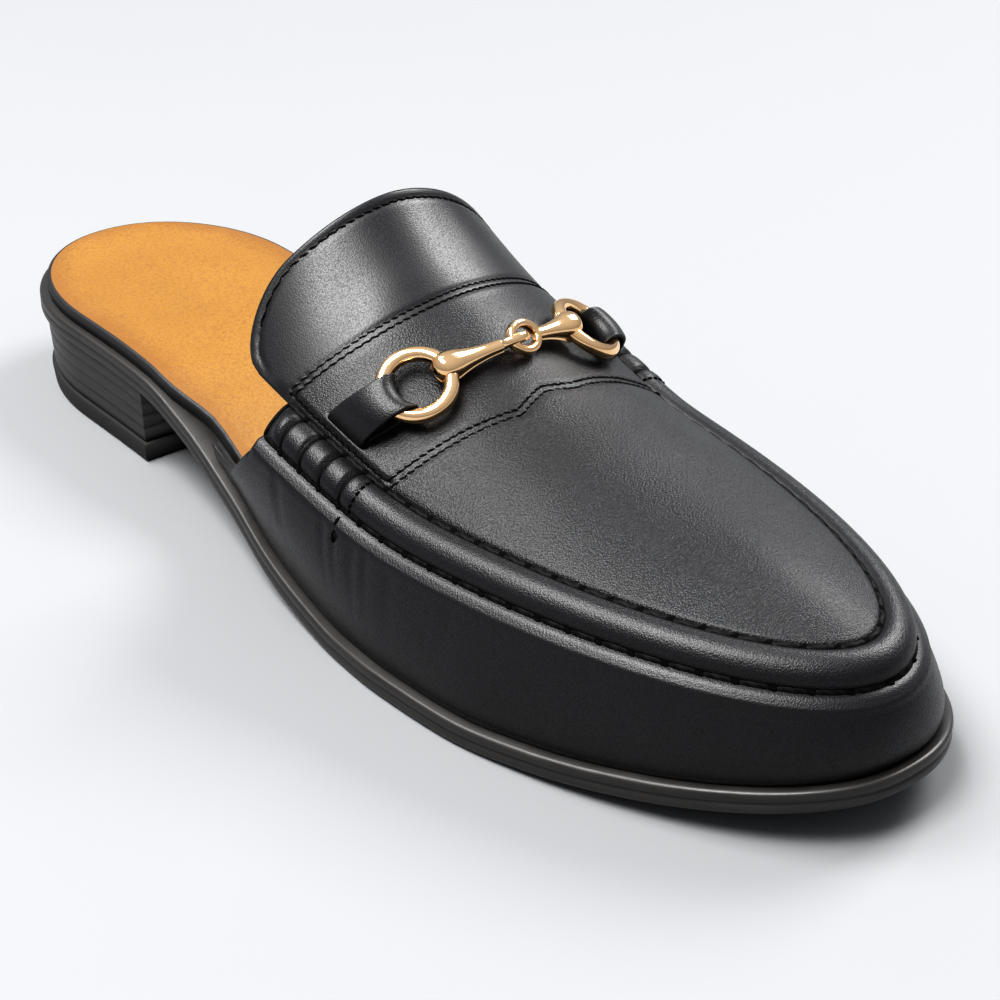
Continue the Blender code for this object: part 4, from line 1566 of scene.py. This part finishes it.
class MULE_OT_upper(bpy.types.Operator):
    """Make the leather upper and its lining"""

    bl_idname = "mule.make_upper"
    bl_label = "Make upper"

    def execute(self, context):
        size = read_sizes(context)
        finish = context.scene.mule_finish
        edge = edge_material(finish)
        mesh = take_mesh("leather_upper", upper_sheet(LEATHER_ROWS, size))
        leather = leather_material(finish, "black_leather")
        upper = add_piece("leather_upper", mesh, (leather, edge), "upper_leather", "upper")
        add_shell(upper, size.leather)
        mesh = take_mesh("upper_lining", upper_sheet(LINING_ROWS, size, size.leather - LINING_SEAT))
        lining = add_piece("upper_lining", mesh, (tan_material(finish), edge), "insole_leather")
        add_shell(lining, size.lining)
        return {"FINISHED"}


class MULE_OT_seam(bpy.types.Operator):
    """Sew the moccasin seam, its needle holes and the wraps over the roll"""

    bl_idname = "mule.sew_seam"
    bl_label = "Sew seam"

    def execute(self, context):
        size = read_sizes(context)
        finish = context.scene.mule_finish
        cord = thread_material(finish, "waxed_cord", twist=1.4, roughness=0.5, tone=0.8)
        dark = thread_material(finish, "wrap_cord", twist=1.2, roughness=0.6, tone=0.6)
        # near-black cups of painted shade in the seam's needle holes
        holes = Soup()
        runs = hole_runs(size)
        for word, strand in STRANDS.items():
            cords = Soup()
            for _, side in SIDES:
                for start, end in zip(runs, runs[1:]):
                    seam_strand(cords, side, start, end, strand, size)
                for run in runs[1:-1]:
                    needle_hole_shade(holes, side, run, strand)
            needle_hole_shade(holes, LATERAL, runs[-1], strand)
            add_soup("seam_cord_" + word, cords, cord, "upper_leather")
        add_soup("needle_hole_shades", holes, hole_shade_material(finish), "upper_leather")
        wraps = Soup()
        for _, side in SIDES:
            for k in range(WRAP_COUNT):
                wrap_thread(wraps, side, max(k * size.moc_pitch, FIRST_WRAP), size)
        add_soup("roll_wraps", wraps, dark, "upper_leather")
        return {"FINISHED"}


class MULE_OT_rows(bpy.types.Operator):
    """Sew the machine rows of saddle and tongue and the tacks of the roll's cover"""

    bl_idname = "mule.sew_rows"
    bl_label = "Sew rows"

    def execute(self, context):
        size = read_sizes(context)
        finish = context.scene.mule_finish
        thread = thread_material(finish, "machine_thread", twist=0.9, roughness=0.8, tone=0.5)
        saddle = Soup()
        # near-black cups of painted shade in the stitch holes
        holes = Soup()
        front = seam_half(NOTCH_X + FRONT_AT)
        rear = seam_half(NOTCH_X + REAR_AT) - REAR_END
        for shift, end in zip((-ROW_APART / 2, ROW_APART / 2), FRONT_ENDS):
            sew_row(saddle, holes, front_row, front - end, shift, size.row_pitch * FRONT_PITCH, size)
            sew_row(saddle, holes, rear_row, rear, shift, size.row_pitch, size)
        for _, side in SIDES:
            sew_side_row(saddle, holes, side, size)
            cover_stitches(saddle, side, size)
            tack_stitches(saddle, side, size)
        add_soup("saddle_stitching", saddle, thread, "upper_leather")
        tongue = Soup()
        reach = APRON_HALF - TONGUE_END
        sew_row(tongue, holes, tongue_row, reach, 0.0, size.row_pitch * TONGUE_PITCH, size)
        add_soup("tongue_stitching", tongue, thread, "upper_leather")
        add_soup("stitch_hole_shades", holes, hole_shade_material(finish), "upper_leather")
        return {"FINISHED"}


class MULE_OT_tabs(bpy.types.Operator):
    """Make the two leather loops that hold the rings"""

    bl_idname = "mule.make_tabs"
    bl_label = "Make tabs"

    def execute(self, context):
        finish = context.scene.mule_finish
        materials = leather_material(finish, "tab_leather", TAB_GRAIN), edge_material(finish)
        for word, side in SIDES:
            name = "tab_loop_" + word
            add_piece(name, tab_mesh(name, side), materials, "tab_leather", "tab_" + word)
        return {"FINISHED"}


class MULE_OT_bit(bpy.types.Operator):
    """Cast the bit: two rings and the two bars hooked together"""

    bl_idname = "mule.cast_bit"
    bl_label = "Cast bit"

    def execute(self, context):
        gilt = gilt_material(context.scene.mule_finish)
        section = [ring_section(turn) for turn in turns(44)]
        for word, side in SIDES:
            ring = Soup()
            ring.add_rings(ring_rings(*ring_frame(side), RING_RADIUS, section, 112), loop=True)
            add_soup("ring_cast_" + word, ring, gilt, "bit_metal", "ring_" + word)
            bar = Soup()
            add_bar(bar, side)
            add_soup("bar_cast_" + word, bar, gilt, "bit_metal", "bar_" + word)
        return {"FINISHED"}


class MULE_OT_insole(bpy.types.Operator):
    """Make the tan insole with its dark painted edge"""

    bl_idname = "mule.make_insole"
    bl_label = "Make insole"

    def execute(self, context):
        finish = context.scene.mule_finish

        def edge(x, side, inset):
            return sole_edge(x, side, insole_inset(x) + inset)

        rings = [(inset, lambda x, d=drop: insole_top(x) - d) for inset, drop in INSOLE_EDGE]
        front = LENGTH - insole_inset(LENGTH)
        back = insole_inset(0.0)
        mesh = layer_mesh("insole_leather", front, back, edge, rings, count=90, dish=insole_dish)
        rim = mesh.attributes.new("rim", "FLOAT", "POINT")
        for vertex, shade in zip(mesh.vertices, rim.data):
            point = vertex.co / MM + SHIFT
            lateral = point.y - edge(point.x, LATERAL, 0.0)
            medial = edge(point.x, MEDIAL, 0.0) - point.y
            shade.value = RIM_SHADE * bell(min(lateral, medial, point.x - back), RIM_WIDE)
        materials = tan_material(finish), edge_material(finish)
        add_piece("insole_leather", mesh, materials, "insole_leather", "insole")
        return {"FINISHED"}


class MULE_OT_sole(bpy.types.Operator):
    """Make the outsole, the stacked heel and its rubber lift"""

    bl_idname = "mule.make_sole"
    bl_label = "Make sole"

    def execute(self, context):
        finish = context.scene.mule_finish
        trimmed = sole_material(finish, "sole_edge", roughness=0.42, layer=0.0012)
        rings = [(inset, lambda x, s=share: sole_top(x) - SOLE_THICK * s) for inset, share in SOLE_EDGE]
        mesh = layer_mesh("outsole_trimmed", LENGTH, 0.0, sole_edge, rings, count=130)
        add_piece("outsole_trimmed", mesh, (trimmed, trimmed), "sole_leather", "outsole")

        stacked = sole_material(finish, "heel_stack", roughness=0.45, layer=0.0009)
        rings = []
        low = LIFT_THICK + GAP
        for layer in range(HEEL_LAYERS):
            for part, groove in HEEL_LAYER:
                share = (layer + part) / HEEL_LAYERS
                rings.append((HEEL_IN + HEEL_TAPER * share + groove,
                              lambda x, s=share: (underside(x) - GAP) * (1 - s) + low * s))
        mesh = layer_mesh("heel_stack", HEEL_BREAST, 0.0, sole_edge, rings, count=60)
        add_piece("heel_stack", mesh, (stacked, stacked), "heel_leather", "heel")

        rubber = rubber_material(finish)
        rings = [(inset, lambda x, z=z: z) for inset, z in LIFT_EDGE]
        mesh = layer_mesh("heel_lift", HEEL_BREAST, 0.0, sole_edge, rings, count=60)
        add_piece("heel_lift", mesh, (rubber, rubber), "lift_rubber", "top_lift")
        return {"FINISHED"}


def lay_floor(scene):
    """A wide floor just under the shoe."""
    corners = ((-1, -1), (1, -1), (1, 1), (-1, 1))
    points = [(FLOOR_HALF * x, FLOOR_HALF * y, FLOOR_LEVEL) for x, y in corners]
    mesh = bpy.data.meshes.new("floor")
    mesh.from_pydata(points, [], [(0, 1, 2, 3)])
    mesh.materials.append(floor_material(scene.mule_finish))
    floor = bpy.data.objects.new("floor", mesh)
    scene.collection.objects.link(floor)


def light_studio(scene):
    """A sky that is brighter overhead, and the soft boxes."""
    scene.world = bpy.data.worlds.new("studio")
    scene.world.use_nodes = True
    nodes = Nodes(scene.world.node_tree)
    sky = nodes.tree.nodes["Background"]
    nodes.feed(sky.inputs["Color"], SKY_COLOUR)
    facing = nodes.add("TexCoord").outputs["Generated"]
    height = nodes.add("SeparateXYZ", {"Vector": facing}).outputs["Z"]
    seen = nodes.add("LightPath").outputs["Is Camera Ray"]
    glow = nodes.math("MAXIMUM", nodes.between(height, SKY_LEVEL, SKY_OVERHEAD),
                      nodes.math("MULTIPLY", seen, SKY_SEEN))
    nodes.feed(sky.inputs["Strength"], glow)
    for box in SOFTBOXES:
        light = bpy.data.lights.new(box.name, "AREA")
        light.shape = "SQUARE"
        light.size = SOFTBOX_SIDE
        light.energy = box.power
        lamp = bpy.data.objects.new(box.name, light)
        towards = Vector(box.towards).normalized()
        lamp.location = to_row(LIT_CENTRE) + towards * SOFTBOX_AWAY
        lamp.rotation_euler = towards.to_track_quat("Z", "Y").to_euler()
        scene.collection.objects.link(lamp)


def place_camera(scene):
    """The photograph's place for the camera, turned and widened to take in the whole shoe."""
    camera = bpy.data.objects.new("camera", bpy.data.cameras.new("camera"))
    notch = Vector((NOTCH_X, ridge_y(NOTCH_X), NOTCH_Z))
    place = to_row(notch + CAMERA_BACK.normalized() * CAMERA_DISTANCE)
    look = (to_row(AIM) - place).to_track_quat("-Z", "Y").to_matrix().to_4x4()
    roll = Matrix.Rotation(math.radians(CAMERA_ROLL), 4, "Z")
    camera.matrix_world = Matrix.Translation(place) @ look @ roll
    camera.data.lens = LENS
    camera.data.sensor_width = SENSOR_WIDTH
    camera.data.clip_start = CLIP_START
    scene.collection.objects.link(camera)
    scene.camera = camera


class MULE_OT_stage(bpy.types.Operator):
    """Set the floor, the soft lights and the camera"""

    bl_idname = "mule.set_stage"
    bl_label = "Set stage"

    def execute(self, context):
        scene = context.scene
        lay_floor(scene)
        light_studio(scene)
        place_camera(scene)
        scene.view_settings.view_transform = "Standard"
        scene.view_settings.look = "High Contrast"
        return {"FINISHED"}


class MULE_PT_panel(bpy.types.Panel):
    """Lists the steps of making the shoe"""

    bl_idname = "MULE_PT_panel"
    bl_label = "Bit mule"
    bl_space_type = "VIEW_3D"
    bl_region_type = "UI"
    bl_category = "Mule"

    def draw(self, context):
        for step in STEPS:
            self.layout.operator(step.bl_idname)
        for group in (context.scene.mule_sizes, context.scene.mule_finish):
            for name in group.__annotations__:
                self.layout.prop(group, name)


STEPS = (MULE_OT_stage, MULE_OT_upper, MULE_OT_seam, MULE_OT_rows, MULE_OT_tabs, MULE_OT_bit,
         MULE_OT_insole, MULE_OT_sole)
CLASSES = (MuleSizes, MuleFinish) + STEPS + (MULE_PT_panel,)


def register():
    for kind in CLASSES:
        bpy.utils.register_class(kind)
    bpy.types.Scene.mule_sizes = PointerProperty(type=MuleSizes)
    bpy.types.Scene.mule_finish = PointerProperty(type=MuleFinish)


def unregister():
    del bpy.types.Scene.mule_finish
    del bpy.types.Scene.mule_sizes
    for kind in reversed(CLASSES):
        bpy.utils.unregister_class(kind)


def main():
    register()
    bpy.ops.mule.set_stage()
    bpy.ops.mule.make_upper()
    bpy.ops.mule.sew_seam()
    bpy.ops.mule.sew_rows()
    bpy.ops.mule.make_tabs()
    bpy.ops.mule.cast_bit()
    bpy.ops.mule.make_insole()
    bpy.ops.mule.make_sole()
    bpy.context.view_layer.update()


if __name__ == "__main__":
    main()
